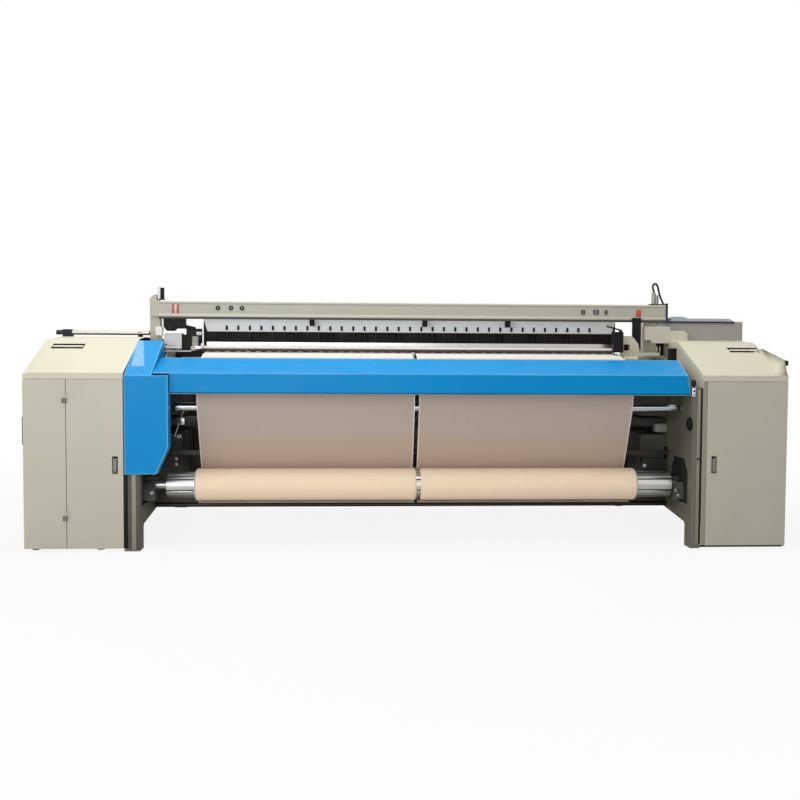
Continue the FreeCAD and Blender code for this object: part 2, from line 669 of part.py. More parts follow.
outline(inside_wedge, [("skin", "end_top - 40"), ("end_slope_rear + 5", "end_top - 40"),
                       ("end_slope_rear + 5", "end_slope_top - skin"),
                       ("end_slope_rear - 40", "end_slope_top - skin"),
                       ("skin", "end_top - skin")])
pocket(end_cover, inside_wedge, "end_slope_right - end_left + 5 - skin", reverse=True)
panel_prism = new_body()
panel_outline = sketch_on(panel_prism, "XY_Plane", "end_top")
outline(panel_outline, [("end_left + 26", "96"), ("-1667", "96"), ("-1736", "402"), ("end_left + 1", "402")])
pad(panel_prism, panel_outline, "260")
panel_slab = side_view("end_left", "110", [
    ("0", "end_top - 2"), ("end_slope_rear - 40", "end_slope_top - 2"),
    ("end_slope_rear - 40", "end_slope_top + 5"), ("0", "end_top + 5")])
raised_panel = doc.addObject("Part::MultiCommon", "RaisedPanel")
raised_panel.Shapes = [panel_prism, panel_slab]
subpart("left_end_cover", joined(end_cover, raised_panel))

cover = side_view("cover_left", "cover_right - cover_left + 20", [
    ("cover_front + cover_lip", "cover_low"), ("cover_front", "cover_low"), ("cover_front", "cover_edge"),
    ("cover_rear", "cover_top"), ("cover_rear", "cover_top - skin - 12"),
    ("cover_rear - skin", "cover_top - skin - 12"), ("cover_rear - skin", "cover_top - skin - 1"),
    ("cover_front + skin", "cover_edge - skin"), ("cover_front + skin", "cover_low + skin"),
    ("cover_front + cover_lip", "cover_low + skin")])
top_tongue = sketch_on(cover, "YZ_Plane", "end_slope_right + gap - cover_left")
outline(top_tongue, [("cover_front", "cover_edge - skin"), ("cover_rear", "cover_top - skin"),
                     ("cover_rear", "cover_top"), ("cover_front", "cover_edge")])
pad(cover, top_tongue, "cover_left - end_slope_right - gap + 1")
end_bevel = sketch_on(cover, "XZ_Plane")
outline(end_bevel, [("cover_right - cover_left + 20 + 1", "cover_low - 1"),
                    ("cover_right - cover_left", "cover_low - 1"),
                    ("cover_right - cover_left - cover_bevel", "cover_edge"),
                    ("cover_right - cover_left + 20", "cover_top"),
                    ("cover_right - cover_left + 20 + 1", "cover_top")])
pocket(cover, end_bevel, "cover_rear + 10")
subpart("beam_cover", cover)


# ---------------------------------------------------------------- top rail and what it carries

rail = side_view("rail_left", "rail_right - rail_left", [
    ("rail_front - rail_ledge_out", "rail_low"), ("rail_rear", "rail_low"), ("rail_rear", "rail_top"),
    ("rail_front", "rail_top"), ("rail_front", "rail_low + rail_ledge"),
    ("rail_front - rail_ledge_out", "rail_low + rail_ledge")],
    rectangle("rail_front + rail_wall", "rail_low + rail_wall",
              "rail_rear - rail_wall", "rail_top - rail_wall"))
soften(rail, "Fillet", "rail_round", X_AXIS,
       lambda p: abs(p.z - size_of("rail_top")) < 1 and abs(p.y - size_of("rail_front")) < 1)
subpart("top_rail", rail)

left_column = joined(
    block("left_column", "column_front", "frame_top", "left_column_width + 6", "column_depth",
          "rail_low - frame_top"),
    block("left_column", "column_front", "rail_low - 1", "left_column_width", "column_depth",
          "column_joint - rail_low + 1"),
    block("left_column + 3", "column_front + 3", "column_joint - 1", "left_column_width - 6",
          "column_depth - 6", "column_seam + 2"),
    front_view("column_front - 10", "column_depth", [
        ("left_column", "column_joint + column_seam"), ("rail_left", "column_joint + column_seam"),
        ("rail_left", "column_block_top"), ("rail_left - 15", "column_block_top"),
        ("rail_left - 15", "column_block_top + 35"), ("left_column + 30", "column_block_top + 35"),
        ("left_column", "column_block_top + 9")]))
right_column = joined(
    block("right_column", "rail_rear", "frame_top", "right_column_width", "column_depth",
          "rail_low - column_seam - frame_top"),
    block("right_column + 3", "rail_rear", "frame_top", "right_column_width - 6", "column_depth - 3",
          "rail_low + 60 - frame_top"),
    block("right_column", "rail_rear", "frame_top", "right_frame_outer - right_column",
          "column_depth", "column_foot"))
subpart("rail_columns", separate(left_column, right_column))

subpart("left_signal_unit", joined(
    block("left_signal - 12", "signal_depth - 14", "column_block_top", "52", "28", "6"),
    upright("left_signal", "signal_depth", "column_block_top", "lamp_radius", "87"),
    upright("left_signal + 23", "signal_depth", "column_block_top", "buzzer_radius", "82")))

CONDUIT_ROUTE = [(0, -6), (0, 12), (-8, 40), (-6, 56), (6, 66), (19, 62), (28, 44), (36, 8), (50, -36),
                 (72, -81)]


def conduit(x, depth, z, route, radius):
    """A rigid bent conduit of six-sided section that turns in its own plane at short mitres."""
    points = [FreeCAD.Vector(x + across, depth, z + up) for across, up in route]
    runs = [(after - before).normalize() for before, after in zip(points, points[1:])]
    sections = []
    for point, arriving, leaving in zip(points, runs[:1] + runs, runs + runs[-1:]):
        mitre = (arriving + leaving).normalize()
        across = mitre.cross(Y_AXIS) / mitre.dot(leaving)
        angles = [math.pi * corner / 3 for corner in range(6)]
        sections.append([point + (across * math.cos(angle) + Y_AXIS * math.sin(angle)) * radius
                         for angle in angles])
    return flat_sided(sections)


right_conduit = conduit(size_of("right_signal"), size_of("signal_depth") - size_of("half_depth"),
                        size_of("rail_top") + 84, CONDUIT_ROUTE, size_of("conduit_radius"))
subpart("right_signal_unit", joined(
    block("right_signal - 29", "signal_depth - 20", "rail_top", "106", "54", "8"),
    upright("right_signal", "signal_depth", "rail_top", "15.5", "86"),
    upright("right_signal + 29.5", "signal_depth + 20", "rail_top", "buzzer_radius - 0.5", "70"),
    right_conduit))

GUIDES = ["-654", "124", "702"]
guide_blocks = [block(f"{x} - guide_width / 2", "rail_front + 8", "rail_low - guide_height", "guide_width",
                      "guide_depth", "guide_height") for x in GUIDES]
rail_end_plate = side_view("rail_right", "16", [
    ("rail_front - 2", "rail_low - 7"), ("rail_rear", "rail_low - 7"), ("rail_rear", "rail_top + 2"),
    ("rail_front + 6", "rail_top + 12"), ("rail_front - 2", "rail_top + 12")])
plate_foot = block("rail_right + 15", "rail_front - 2", "rail_low + 13", "22", "20", "10")
subpart("rail_fittings", separate(*guide_blocks, joined(rail_end_plate, plate_foot)))


left_unit = front_view("700", "40", [
    ("-1662", "1402"), ("-1640", "1372"), ("-1590", "1372"), ("-1572", "1388"), ("-1513", "1388"),
    ("-1450", "1386"), ("-1450", "1400"), ("-1513", "1414"), ("-1513", "rail_low"), ("-1662", "rail_low")])
left_unit_disc = front_view("686", "20", octagon("-1612", "1396", "21"))
left_unit_lug = front_view("690", "16", rectangle("-1574", "1404", "-1540", "1440"))
right_unit = front_view("654", "rail_front - rail_ledge_out - 654", [
    ("1571", "1262"), ("1583", "1246"), ("1615", "1246"), ("1627", "1262"),
    ("1627", "1483"), ("1571", "1483")])
switch_box = side_view("1786", "40", [("500", "1175"), ("560", "1192.5"), ("560", "1272"), ("500", "1272")])
column_rest = block("right_column + right_column_width", "rail_rear + 15", "frame_top + column_foot",
                    "60", "30", "88")
subpart("selvedge_units", separate(joined(left_unit, left_unit_disc, left_unit_lug), right_unit, switch_box,
                                   column_rest))


# ---------------------------------------------------------------- temple tube and its ends

tube_body = rod("temple_left", "temple_depth", "temple_height", "temple_radius", "temple_right - temple_left")
flange = rod("temple_left", "temple_depth", "temple_height", "temple_radius + 18", "14")
subpart("temple_tube", joined(tube_body, flange))

HOUSING_FRONT, HOUSING_REAR = "556", "640"
housing = front_view(HOUSING_FRONT, f"{HOUSING_REAR} - {HOUSING_FRONT}",
                     rectangle("-1632", "1252", "-1515", "1357"))
soften(housing, "Fillet", "24", Y_AXIS, lambda p: p.x < -1600)
housing_plate = block("-1628", HOUSING_FRONT, "1230", "178", "60", "9")
housing_leg = side_view("-1628", "60", [
    ("breast_rear", "1090"), (HOUSING_REAR, "1200"), (HOUSING_REAR, "1256"),
    (f"{HOUSING_REAR} - 30", "1256"), (f"{HOUSING_REAR} - 30", "1216"), ("breast_rear", "1130")])
valve_box = block("-1703", "640", "1340", "42", "column_front - 640", "58")
subpart("nozzle_housing", separate(joined(housing, housing_plate, housing_leg), valve_box))

subpart("cutter_block", joined(
    block("-1515", "560", "1244", "67", "50", "101"),
    block("-1448", "566", "1236", "38", "40", "97"),
    block("-1448", "temple_depth - 14", "temple_height - 14", "38", "60", "28"),
    side_view("-1420", "40", octagon("temple_depth", "temple_height", "12"))))

selvedge_plate = front_view("556", "44", [
    ("1463", "1216"), ("1589", "1216"), ("1589", "1250"), ("1579", "1302"),
    ("1535", "1355"), ("1463", "1355")],
    rectangle("1479", "1256", "1519", "1297"))
soften(selvedge_plate, "Fillet", "30", Y_AXIS, lambda p: p.x > 1520 and p.z > 1290)
bracket_foot = side_view("1476", "100", [
    ("breast_rear", "1080"), ("600", "1170"), ("600", "1217"), ("556", "1217"), ("breast_rear", "1150")])
foot_bar = block("1580", "556", "1222", "147", "34", "20")
knurled_block = block("temple_right + 1", "482", "1242", "65", "66", "138")
block_arm = block("1450", "520", "1262", "14", "60", "80")
lever = front_view("500", "10", [("1344", "1414"), ("1430", "1390"), ("1430", "1378"), ("1450", "1378"),
                                 ("1450", "1394"), ("1344", "1424")])
subpart("selvedge_bracket", joined(selvedge_plate, bracket_foot, foot_bar, knurled_block, block_arm, lever))


# ---------------------------------------------------------------- right rear: housing and control box

stepped_box = front_view("650", "68", [
    ("1656", "roof"), ("1656", "1424"), ("1834", "1424"), ("1834", "1396"), ("1930", "1396"),
    ("1955", "1376"), ("1955", "roof")])
housing_plinth = block("1700", "650", "roof - 20", "right_cabinet_inner - gap - 1700", "68", "24")
subpart("stepped_housing", joined(stepped_box, housing_plinth))
subpart("control_box", front_view("720", "560", [
    ("1836", "roof"), ("half_width", "roof"), ("half_width", "1463"), ("2316", "1463"), ("2316", "1452"),
    ("1836", "1452")]))
subpart("control_box_lid", front_view("712", "576", [
    ("1830", "1452"), ("2314", "1452"), ("2314", "1462"), ("2276", "1484"), ("1980", "1484"),
    ("1940", "1497"), ("1872", "1497"), ("1830", "1478")]))

clamp_bar = side_view("-half_width", "left_column - 5 + half_width", [
    ("680", "1342"), ("726", "1342"), ("726", "1352"), ("712", "1373"), ("694", "1373"), ("680", "1352")])
clamps = [block("-2330", "676", "roof", "60", "54", "50"), block("-1830", "684", "roof", "26", "36", "34")]
subpart("rear_clamp_bar", joined(clamp_bar, *clamps))


# ---------------------------------------------------------------- rollers and rolls

def wall_end(side):
    """Where a journal ends inside the side frame."""
    return "left_frame_inner - journal_in_wall" if side == "left" else "right_frame_inner + journal_in_wall"


def roller(name, depth, height, radius, left, right, journal, left_end, right_end, solid=False):
    """A roller with a journal at each end: a bar, or a tube closed by end discs."""
    outside = turned(depth, height, (left_end, journal), (left, journal), (left, radius),
                     (right, radius), (right, journal), (right_end, journal))
    if solid:
        return subpart(name, outside)
    inside = rod(f"{left} + end_disc", depth, height, f"{radius} - roller_wall",
                 f"{right} - ({left}) - 2 * end_disc")
    return subpart(name, without(outside, inside))


roller("take_up_roller", "take_up_depth", "take_up_height", "take_up_radius", "take_up_left", "take_up_right",
       "drive_journal", wall_end("left"), "right_cabinet_inner + 36")
roller("press_roller", BORES[1][0], "take_up_height", "press_radius", "take_up_left", "take_up_right",
       "small_journal", wall_end("left"), wall_end("right"), solid=True)
roller("guide_roller", "chrome_depth", "chrome_height", "chrome_radius", "chrome_left", "chrome_right",
       "small_journal", wall_end("left"), wall_end("right"), solid=True)
roller("back_rest_roller", "back_rest_depth", "back_rest_height", "back_rest_radius", "back_rest_left",
       "back_rest_right", "back_rest_journal", "left_frame_inner + 4", "right_frame_inner - 4")

roller("cloth_tube", "roll_depth", "roll_height", "tube_radius", "tube_left", "tube_right", "roll_journal",
       "left_frame_inner + 10", "right_frame_inner - 10")


def winding(left, right, inner, outer, depth, height):
    return without(rod(left, depth, height, outer, f"{right} - ({left})"),
                   rod(f"{left} - 1", depth, height, inner, f"{right} - ({left}) + 2"))


ROLL_ENDS = [("roll_left", "roll_split - roll_gap / 2"), ("roll_split + roll_gap / 2", "roll_right")]
subpart("cloth_winding", separate(*[
    winding(left, right, "tube_radius", "roll_radius", "roll_depth", "roll_height")
    for left, right in ROLL_ENDS]))


def roll_bearing(x, width):
    """An open hook in which the journal of the cloth roll lies."""
    hook = side_view(x, width, [
        ("roll_depth - 62", "roll_height - 96"), ("roll_depth + 62", "roll_height - 96"),
        ("roll_depth + 62", "roll_height + 44"),
        ("roll_depth + roll_journal + running_fit", "roll_height + 44"),
        ("roll_depth + roll_journal + running_fit", "roll_height"),
        ("roll_depth - roll_journal - running_fit", "roll_height"),
        ("roll_depth - roll_journal - running_fit", "roll_height + 14"),
        ("roll_depth - 62", "roll_height - 20")])
    seat = sketch_on(hook, "YZ_Plane")
    ring(seat, "roll_depth", "roll_height", "roll_journal + running_fit")
    pocket(hook, seat, width, reverse=True)
    return hook


subpart("roll_bearings", separate(roll_bearing("left_frame_inner - recess_depth", "50 + recess_depth"),
                                  roll_bearing("right_frame_inner - 42", "42 + recess_depth")))


# ---------------------------------------------------------------- warp beam and back rest

FLANGE_LEFT, FLANGE_RIGHT = "yarn_left - flange_width", "yarn_right + flange_width"
subpart("warp_beam", turned(
    "beam_depth", "beam_height",
    ("left_frame_inner + 4", "warp_journal"), (FLANGE_LEFT, "warp_journal"), (FLANGE_LEFT, "flange_radius"),
    ("yarn_left", "flange_radius"), ("yarn_left", "barrel_radius"), ("yarn_right", "barrel_radius"),
    ("yarn_right", "flange_radius"), (FLANGE_RIGHT, "flange_radius"), (FLANGE_RIGHT, "warp_journal"),
    ("right_frame_inner - 4", "warp_journal")))
subpart("warp_yarn", winding("yarn_left", "yarn_right", "barrel_radius", "yarn_radius",
                             "beam_depth", "beam_height"))


def rear_bracket(x):
    """A plate that carries the warp beam journal and, above it, the back rest roller."""
    plate = side_view(x, "bracket_width", [
        ("beam_depth - 105", "beam_height - 110"), ("beam_depth + 105", "beam_height - 110"),
        ("back_rest_depth + 60", "back_rest_height - 160"),
        ("back_rest_depth + 50", "back_rest_height + 50"),
        ("back_rest_depth - 50", "back_rest_height + 50"),
        ("back_rest_depth - 90", "back_rest_height - 160")])
    bores = sketch_on(plate, "YZ_Plane")
    ring(bores, "beam_depth", "beam_height", "warp_journal + running_fit")
    ring(bores, "back_rest_depth", "back_rest_height", "back_rest_journal + running_fit")
    pocket(plate, bores, "bracket_width", reverse=True)
    return plate


subpart("rear_brackets", separate(rear_bracket("left_frame_inner"),
                                  rear_bracket("right_frame_inner - bracket_width")))

drop_bars = [block("heald_left - 20", f"drop_front + {row} * drop_pitch", "drop_low",
                   "heald_right - heald_left + 40", "6", "drop_height") for row in range(4)]
drop_ends = [block(x, "drop_front - 20", "frame_top", "16", "4 * drop_pitch + 16",
                   "drop_low + drop_height - frame_top")
             for x in ("left_frame_inner - 20", "right_frame_inner + 4")]
drop_ties = [block("left_frame_inner - 20", depth, "drop_low + 4",
                   "right_frame_inner - left_frame_inner + 40", "10", "22")
             for depth in ("drop_front - 20", "drop_front + 4 * drop_pitch - 14")]
drop_stays = [block(x, "drop_front - 20", "drop_low + 4", "10", "4 * drop_pitch + 16", "22")
              for x in ("heald_left - 30", "heald_right + 20")]
subpart("drop_wire_bank", joined(*drop_bars, *drop_ends, *drop_ties, *drop_stays))


# ---------------------------------------------------------------- sley, reed and heald frames

shaft = rod(wall_end("left"), "sley_depth", "sley_height", "sley_journal",
            f"{wall_end('right')} - ({wall_end('left')})")
swords = side_view("sley_left + 10", "sword_thickness", [
    ("sley_depth - sword_half", "sley_height"), ("sley_depth + sword_half", "sley_height"),
    ("sley_depth + beam_half", "beam_low + 5"), ("sley_depth - beam_half", "beam_low + 5")])
pattern(swords, swords.Tip, "X_Axis", "sley_right - sley_left - sword_thickness - 20", "sword_count")
sley_beam = side_view("sley_left", "sley_right - sley_left", [
    ("sley_depth - beam_half", "beam_low"), ("sley_depth + beam_half", "beam_low"),
    ("sley_depth + beam_half", "beam_high"), ("sley_depth + reed_half", "beam_high"),
    ("sley_depth + reed_half", "reed_foot"), ("sley_depth - reed_half", "reed_foot"),
    ("sley_depth - reed_half", "beam_high"), ("sley_depth - beam_half", "beam_high")])
subpart("sley", joined(shaft, swords, sley_beam))


def gap_row(body, plane_offset, first, low, high, pitch, share, count, length):
    """Cut a row of equal upright gaps into a wall drawn in the front view."""
    sketch = sketch_on(body, "XZ_Plane", plane_offset)
    outline(sketch, rectangle(f"{first} + ({pitch}) * (1 - {share}) / 2", low,
                              f"{first} + ({pitch}) * (1 + {share}) / 2", high))
    opening = pocket(body, sketch, length)
    return pattern(body, opening, "X_Axis", f"({pitch}) * ({count} - 1)", count)


reed = front_view("sley_depth - reed_half", "2 * reed_half",
                  rectangle("reed_left", "reed_foot", "reed_right", "reed_cap_low"))
gap_row(reed, "0", "reed_left", "dent_low", "dent_high", "(reed_right - reed_left) / dent_count",
        "dent_share", "dent_count", "2 * reed_half + 1")
reed_cap = block("reed_left", "sley_depth - reed_cap_half", "reed_cap_low", "reed_right - reed_left",
                 "2 * reed_cap_half", "reed_cap_top - reed_cap_low")
subpart("reed", joined(reed, reed_cap))


HEALD_PITCH = "(heald_right - heald_left - 2 * stay_width) / heald_count"


def heald_frame(number):
    """Two slats, two end stays, the row of healds between them and the lift rods below.

    Each frame's healds stand a quarter of a pitch beside those of the frame in front of it.
    """
    front = f"heald_front + {number - 1} * heald_pitch"
    inner_left, inner_right = "heald_left + stay_width", "heald_right - stay_width"
    ring_body = front_view(front, "heald_thickness",
                           rectangle("heald_left", "lower_slat_low", "heald_right", "slat_top"),
                           rectangle(inner_left, "lower_slat_top", inner_right, "slat_low"))
    healds = front_view(f"{front} + heald_thickness / 2 - heald_half", "2 * heald_half",
                        rectangle(inner_left, "lower_slat_top", inner_right, "slat_low"))
    gap_row(healds, "0", f"{inner_left} + ({HEALD_PITCH}) * {(number - 1) / 4}", "lower_slat_top + 8",
            "slat_low - 8", HEALD_PITCH, "heald_share", "heald_count - 1", "2 * heald_half + 1")
    rods = [block(f"{x} - lift_rod_half", f"{front} + 1", "lift_rod_low", "2 * lift_rod_half",
                  "heald_thickness - 2", "lower_slat_low - lift_rod_low + 4")
            for x in ("heald_left + lift_rod_inset", "heald_right - lift_rod_inset")]
    return subpart(f"heald_frame_{number}", joined(ring_body, healds, *rods))


for frame_number in (1, 2, 3, 4):
    heald_frame(frame_number)


# ---------------------------------------------------------------- drive inside the cabinets

drive_box = side_view("-1880", "left_frame_outer + 1880", [
    ("590", "600"), ("1040", "600"), ("1080", "680"), ("1040", "860"), ("700", "960"), ("590", "900")])
drive_bore = sketch_on(drive_box, "YZ_Plane")
ring(drive_bore, "main_depth", "main_height", "shaft_radius + running_fit")
pocket(drive_box, drive_bore, "left_frame_outer + 1880", reverse=True)


def end_boxes(x, length):
    """Closed gear boxes on the inner face of a side frame, above, below and behind the two shafts."""
    return [block(x, "540", "810", length, "580", "220"), block(x, "540", "300", length, "315", "380"),
            block(x, "965", "240", length, "155", "568")]


subpart("drive_box", separate(drive_box, *end_boxes("left_frame_inner", "165"),
                              *end_boxes("1602", "right_frame_inner - 1602")))

subpart("drive_pulley", turned(
    "main_depth", "main_height", ("pulley_left", "main_radius"),
    ("pulley_left + pulley_width", "main_radius"),
    ("pulley_left + pulley_width", "shaft_radius"), (wall_end("right"), "shaft_radius")))
subpart("motor_pulley", turned(
    "main_depth", "motor_height", ("pulley_left - 90", "motor_shaft"), ("pulley_left", "motor_shaft"),
    ("pulley_left", "motor_pulley_radius"), ("pulley_left + pulley_width", "motor_pulley_radius")))

motor_body = side_view("-2300", "pulley_left - 30 + 2300",
                       octagon("main_depth", "motor_height", "motor_radius"))
motor_feet = block("-2260", "main_depth - 110", "floor_gap + skin", "160", "220",
                   "motor_height - 100 - floor_gap - skin")
motor_bore = rod("pulley_left - 95", "main_depth", "motor_height", "motor_shaft + running_fit", "100")
subpart("main_motor", without(joined(motor_body, motor_feet), motor_bore))


def belt():
    """A flat endless belt round the motor pulley and the drive pulley."""
    lift = size_of("belt_clearance") + size_of("belt_thickness") / 2
    small = (size_of("main_depth"), size_of("motor_height"), size_of("motor_pulley_radius") + lift, 1)
    large = (size_of("main_depth"), size_of("main_height"), size_of("main_radius") + lift, 1)
    left = size_of("pulley_left") + 5
    headings = path_round([small, large, small])
    walls = []
    for shift in (size_of("belt_thickness") / 2, -size_of("belt_thickness") / 2):
        wire = shifted_edges([small, large, small], headings, shift)
        y, z, radius, turn = small
        side = shift - radius
        first = FreeCAD.Vector(0, y - side * math.sin(headings[0]), z + side * math.cos(headings[0]))
        last = FreeCAD.Vector(0, y - side * math.sin(headings[1]), z + side * math.cos(headings[1]))
        bottom = FreeCAD.Vector(0, y, z - abs(side))
        wire.append(Part.Arc(last, bottom, first).toShape())
        walls.append(Part.Face(Part.Wire(Part.__sortEdges__(wire))))
    walls.sort(key=lambda face: face.Area)
    band = walls[1].cut(walls[0]).extrude(FreeCAD.Vector(size_of("belt_width"), 0, 0))
    feature = doc.addObject("Part::Feature", "Belt")
    feature.Shape = band
    feature.Placement = FreeCAD.Placement(FreeCAD.Vector(left, -size_of("half_depth"), 0), FreeCAD.Rotation())
    return feature


subpart("drive_belt", belt())

take_up_box = side_view("right_cabinet_inner + skin + 4", "130", [
    ("180", "900"), ("400", "900"), ("430", "960"), ("400", "1090"), ("330", "1130"), ("220", "1110"),
    ("180", "1050")])
take_up_bore = sketch_on(take_up_box, "YZ_Plane")
ring(take_up_bore, "take_up_depth", "take_up_height", "drive_journal + running_fit")
pocket(take_up_box, take_up_bore, "60", reverse=True)
take_up_motor = side_view("right_cabinet_inner + skin + 130", "170", octagon("290", "960", "54"))
subpart("take_up_drive", joined(take_up_box, take_up_motor))


# ---------------------------------------------------------------- cloth and warp

def stop(depth, height, radius, turn):
    return (size_of(depth), size_of(height), radius, turn)


LIFT = size_of("cloth_clearance") + size_of("cloth_thickness") / 2
press_depth = (size_of("take_up_depth") - size_of("take_up_radius") - size_of("press_radius")
               - size_of("press_gap"))
CLOTH_STOPS = [
    (size_of("fell_depth"), size_of("fell_height"), 0, 0),
    stop("nose_depth", "nose_height", size_of("nose_radius") + LIFT, 1),
    stop("take_up_depth", "take_up_height", size_of("take_up_radius") + LIFT, -1),
    (press_depth, size_of("take_up_height"), size_of("press_radius") + LIFT, 1),
    stop("chrome_depth", "chrome_height", size_of("chrome_radius") + LIFT, 1),
    stop("roll_depth", "roll_height", size_of("roll_radius") + LIFT, -1),
    (size_of("roll_depth") - 60, size_of("roll_height") - size_of("roll_radius") - 6, 0, 0),
]
for cloth_name, left_edge, right_edge in (("cloth_left", "left_cloth_left", "left_cloth_right"),
                                          ("cloth_right", "right_cloth_left", "right_cloth_right")):
    subpart(cloth_name, ribbon(CLOTH_STOPS, size_of("cloth_thickness"), size_of(left_edge),
                               size_of(right_edge)))

WARP_STOPS = [
    (size_of("warp_end"), size_of("warp_end_height"), 0, 0),
    stop("back_rest_depth", "back_rest_height", size_of("back_rest_radius") + LIFT, -1),
    stop("beam_depth", "beam_height", size_of("yarn_radius") + LIFT, -1),
    (size_of("beam_depth") + 20, size_of("beam_height") - size_of("yarn_radius") - 8, 0, 0),
]
subpart("warp_sheet", ribbon(WARP_STOPS, size_of("cloth_thickness"), size_of("yarn_left") + 8,
                             size_of("yarn_right") - 8))


# ---------------------------------------------------------------- check and write

doc.recompute()
for item in doc.Objects:
    if "Invalid" in item.State or "Error" in item.State:
        raise RuntimeError(f"{item.Name} ({item.Label}) failed: {item.State}")
os.makedirs("parts", exist_ok=True)
for item in SUBPARTS:
    if item.Shape.isNull() or not item.Shape.isValid() or item.Shape.Volume <= 0:
        raise RuntimeError(f"{item.Label} has no valid solid")
    item.Shape.exportStep(f"parts/{item.Label}.step")
    print(item.Label, len(item.Shape.Solids), "solids", round(item.Shape.Volume / 1e6, 2), "dm3")
print(len(SUBPARTS), "sub-parts written")
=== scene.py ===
"""Looks of the power loom: paints, metals, cloth, yarn and fittings, with light and camera."""

import json
import math

import bmesh
import bpy
from mathutils import Matrix, Vector, noise


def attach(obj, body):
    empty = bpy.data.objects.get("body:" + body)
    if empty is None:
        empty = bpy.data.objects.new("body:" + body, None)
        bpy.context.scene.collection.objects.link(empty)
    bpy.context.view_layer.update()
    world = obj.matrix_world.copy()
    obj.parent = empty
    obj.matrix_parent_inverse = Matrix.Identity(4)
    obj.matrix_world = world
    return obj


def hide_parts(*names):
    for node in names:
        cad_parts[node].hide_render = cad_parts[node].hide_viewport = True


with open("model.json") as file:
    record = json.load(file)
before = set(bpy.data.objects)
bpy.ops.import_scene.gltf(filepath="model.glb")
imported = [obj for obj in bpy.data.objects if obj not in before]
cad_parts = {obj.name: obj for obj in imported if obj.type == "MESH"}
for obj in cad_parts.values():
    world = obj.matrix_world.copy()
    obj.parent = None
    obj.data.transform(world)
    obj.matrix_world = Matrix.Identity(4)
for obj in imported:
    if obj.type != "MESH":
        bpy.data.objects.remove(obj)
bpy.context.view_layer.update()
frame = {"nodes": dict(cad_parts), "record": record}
NODES = frame["nodes"]
SLOT_OF = {row["node"]: row["material_slot"] for row in frame["record"]["subparts"]}
HALF_DEPTH = 0.9  # metres from the machine's front plane to the origin
FAR = math.inf

# Places in millimetres: X from the machine's middle, depth from its front plane, height above the
# floor. Axes of rollers are (depth, height).
LEFT_WALL, RIGHT_WALL = -1680, 1767  # inner faces of the side frames
GUIDE_BAR, TAKE_UP_AXIS, GUIDE_AXIS, ROLL_AXIS = (372, 1184), (290, 1040), (200, 881), (280, 376)
BACK_REST_AXIS, BEAM_AXIS = (1500, 1130), (1394, 640)
BAR_RADIUS, TAKE_UP_RADIUS, PRESS_RADIUS, GUIDE_RADIUS, ROLL_RADIUS = 12, 80, 30, 26, 104
BACK_REST_RADIUS, BEAM_RADIUS = 62, 330
FELL, WARP_START = (552, 1232), (850, 1226)  # where the cloths and the warp sheet begin
PRESS_GAP = 2.4  # room for the cloth between the take-up roller and the press roller
RAIL_ENDS, RAIL_FACE = (-1690.5, 1810.5), 690
CABINET_REAR = 1500
INTO = 0.2  # how far a turned fitting reaches into what carries it
RAIL_BACK, POST_BACK = RAIL_FACE + 0.1, 10.2  # backs of the blocks on the rail and the front posts
FORWARD, BACKWARD, UP, RIGHTWARD, LEFTWARD = (0, -1, 0), (0, 1, 0), (0, 0, 1), (1, 0, 0), (-1, 0, 0)


def at(x, depth, z):
    """A point of the scene, in metres, from a place in millimetres."""
    return Vector((x / 1000, depth / 1000 - HALF_DEPTH, z / 1000))


# ---------------------------------------------------------------- materials

MATERIALS = {}
DUST, DUST_TOP = (128, 122, 104), 0.75  # colour of settled dust and the height it reaches
WHITE = (1, 1, 1, 1)


def linear(red, green, blue):
    """A scene colour from its 0 to 255 screen values."""
    def one(value):
        value /= 255
        return value / 12.92 if value <= 0.04045 else ((value + 0.055) / 1.055) ** 2.4
    return (one(red), one(green), one(blue), 1.0)


def shaded(colour, factor, added=0.0):
    return tuple(c * factor + added for c in colour[:3]) + (1.0,)


class Graph:
    """A node tree with short calls for its nodes."""

    def __init__(self, tree):
        self.tree = tree
        tree.nodes.clear()

    def add(self, kind, **settings):
        node = self.tree.nodes.new(kind)
        for name, value in settings.items():
            setattr(node, name, value)
        return node

    def put(self, value, socket):
        """Feed an input from another node, or set it to a number or a colour."""
        if isinstance(value, bpy.types.NodeSocket):
            self.tree.links.new(value, socket)
        else:
            socket.default_value = value

    def calculate(self, operation, *values):
        node = self.add("ShaderNodeMath", operation=operation)
        for value, socket in zip(values, node.inputs):
            self.put(value, socket)
        return node.outputs["Value"]

    def mixed_shader(self, factor, first, second):
        node = self.add("ShaderNodeMixShader")
        for value, socket in zip((factor, first, second), node.inputs):
            self.put(value, socket)
        return node.outputs["Shader"]


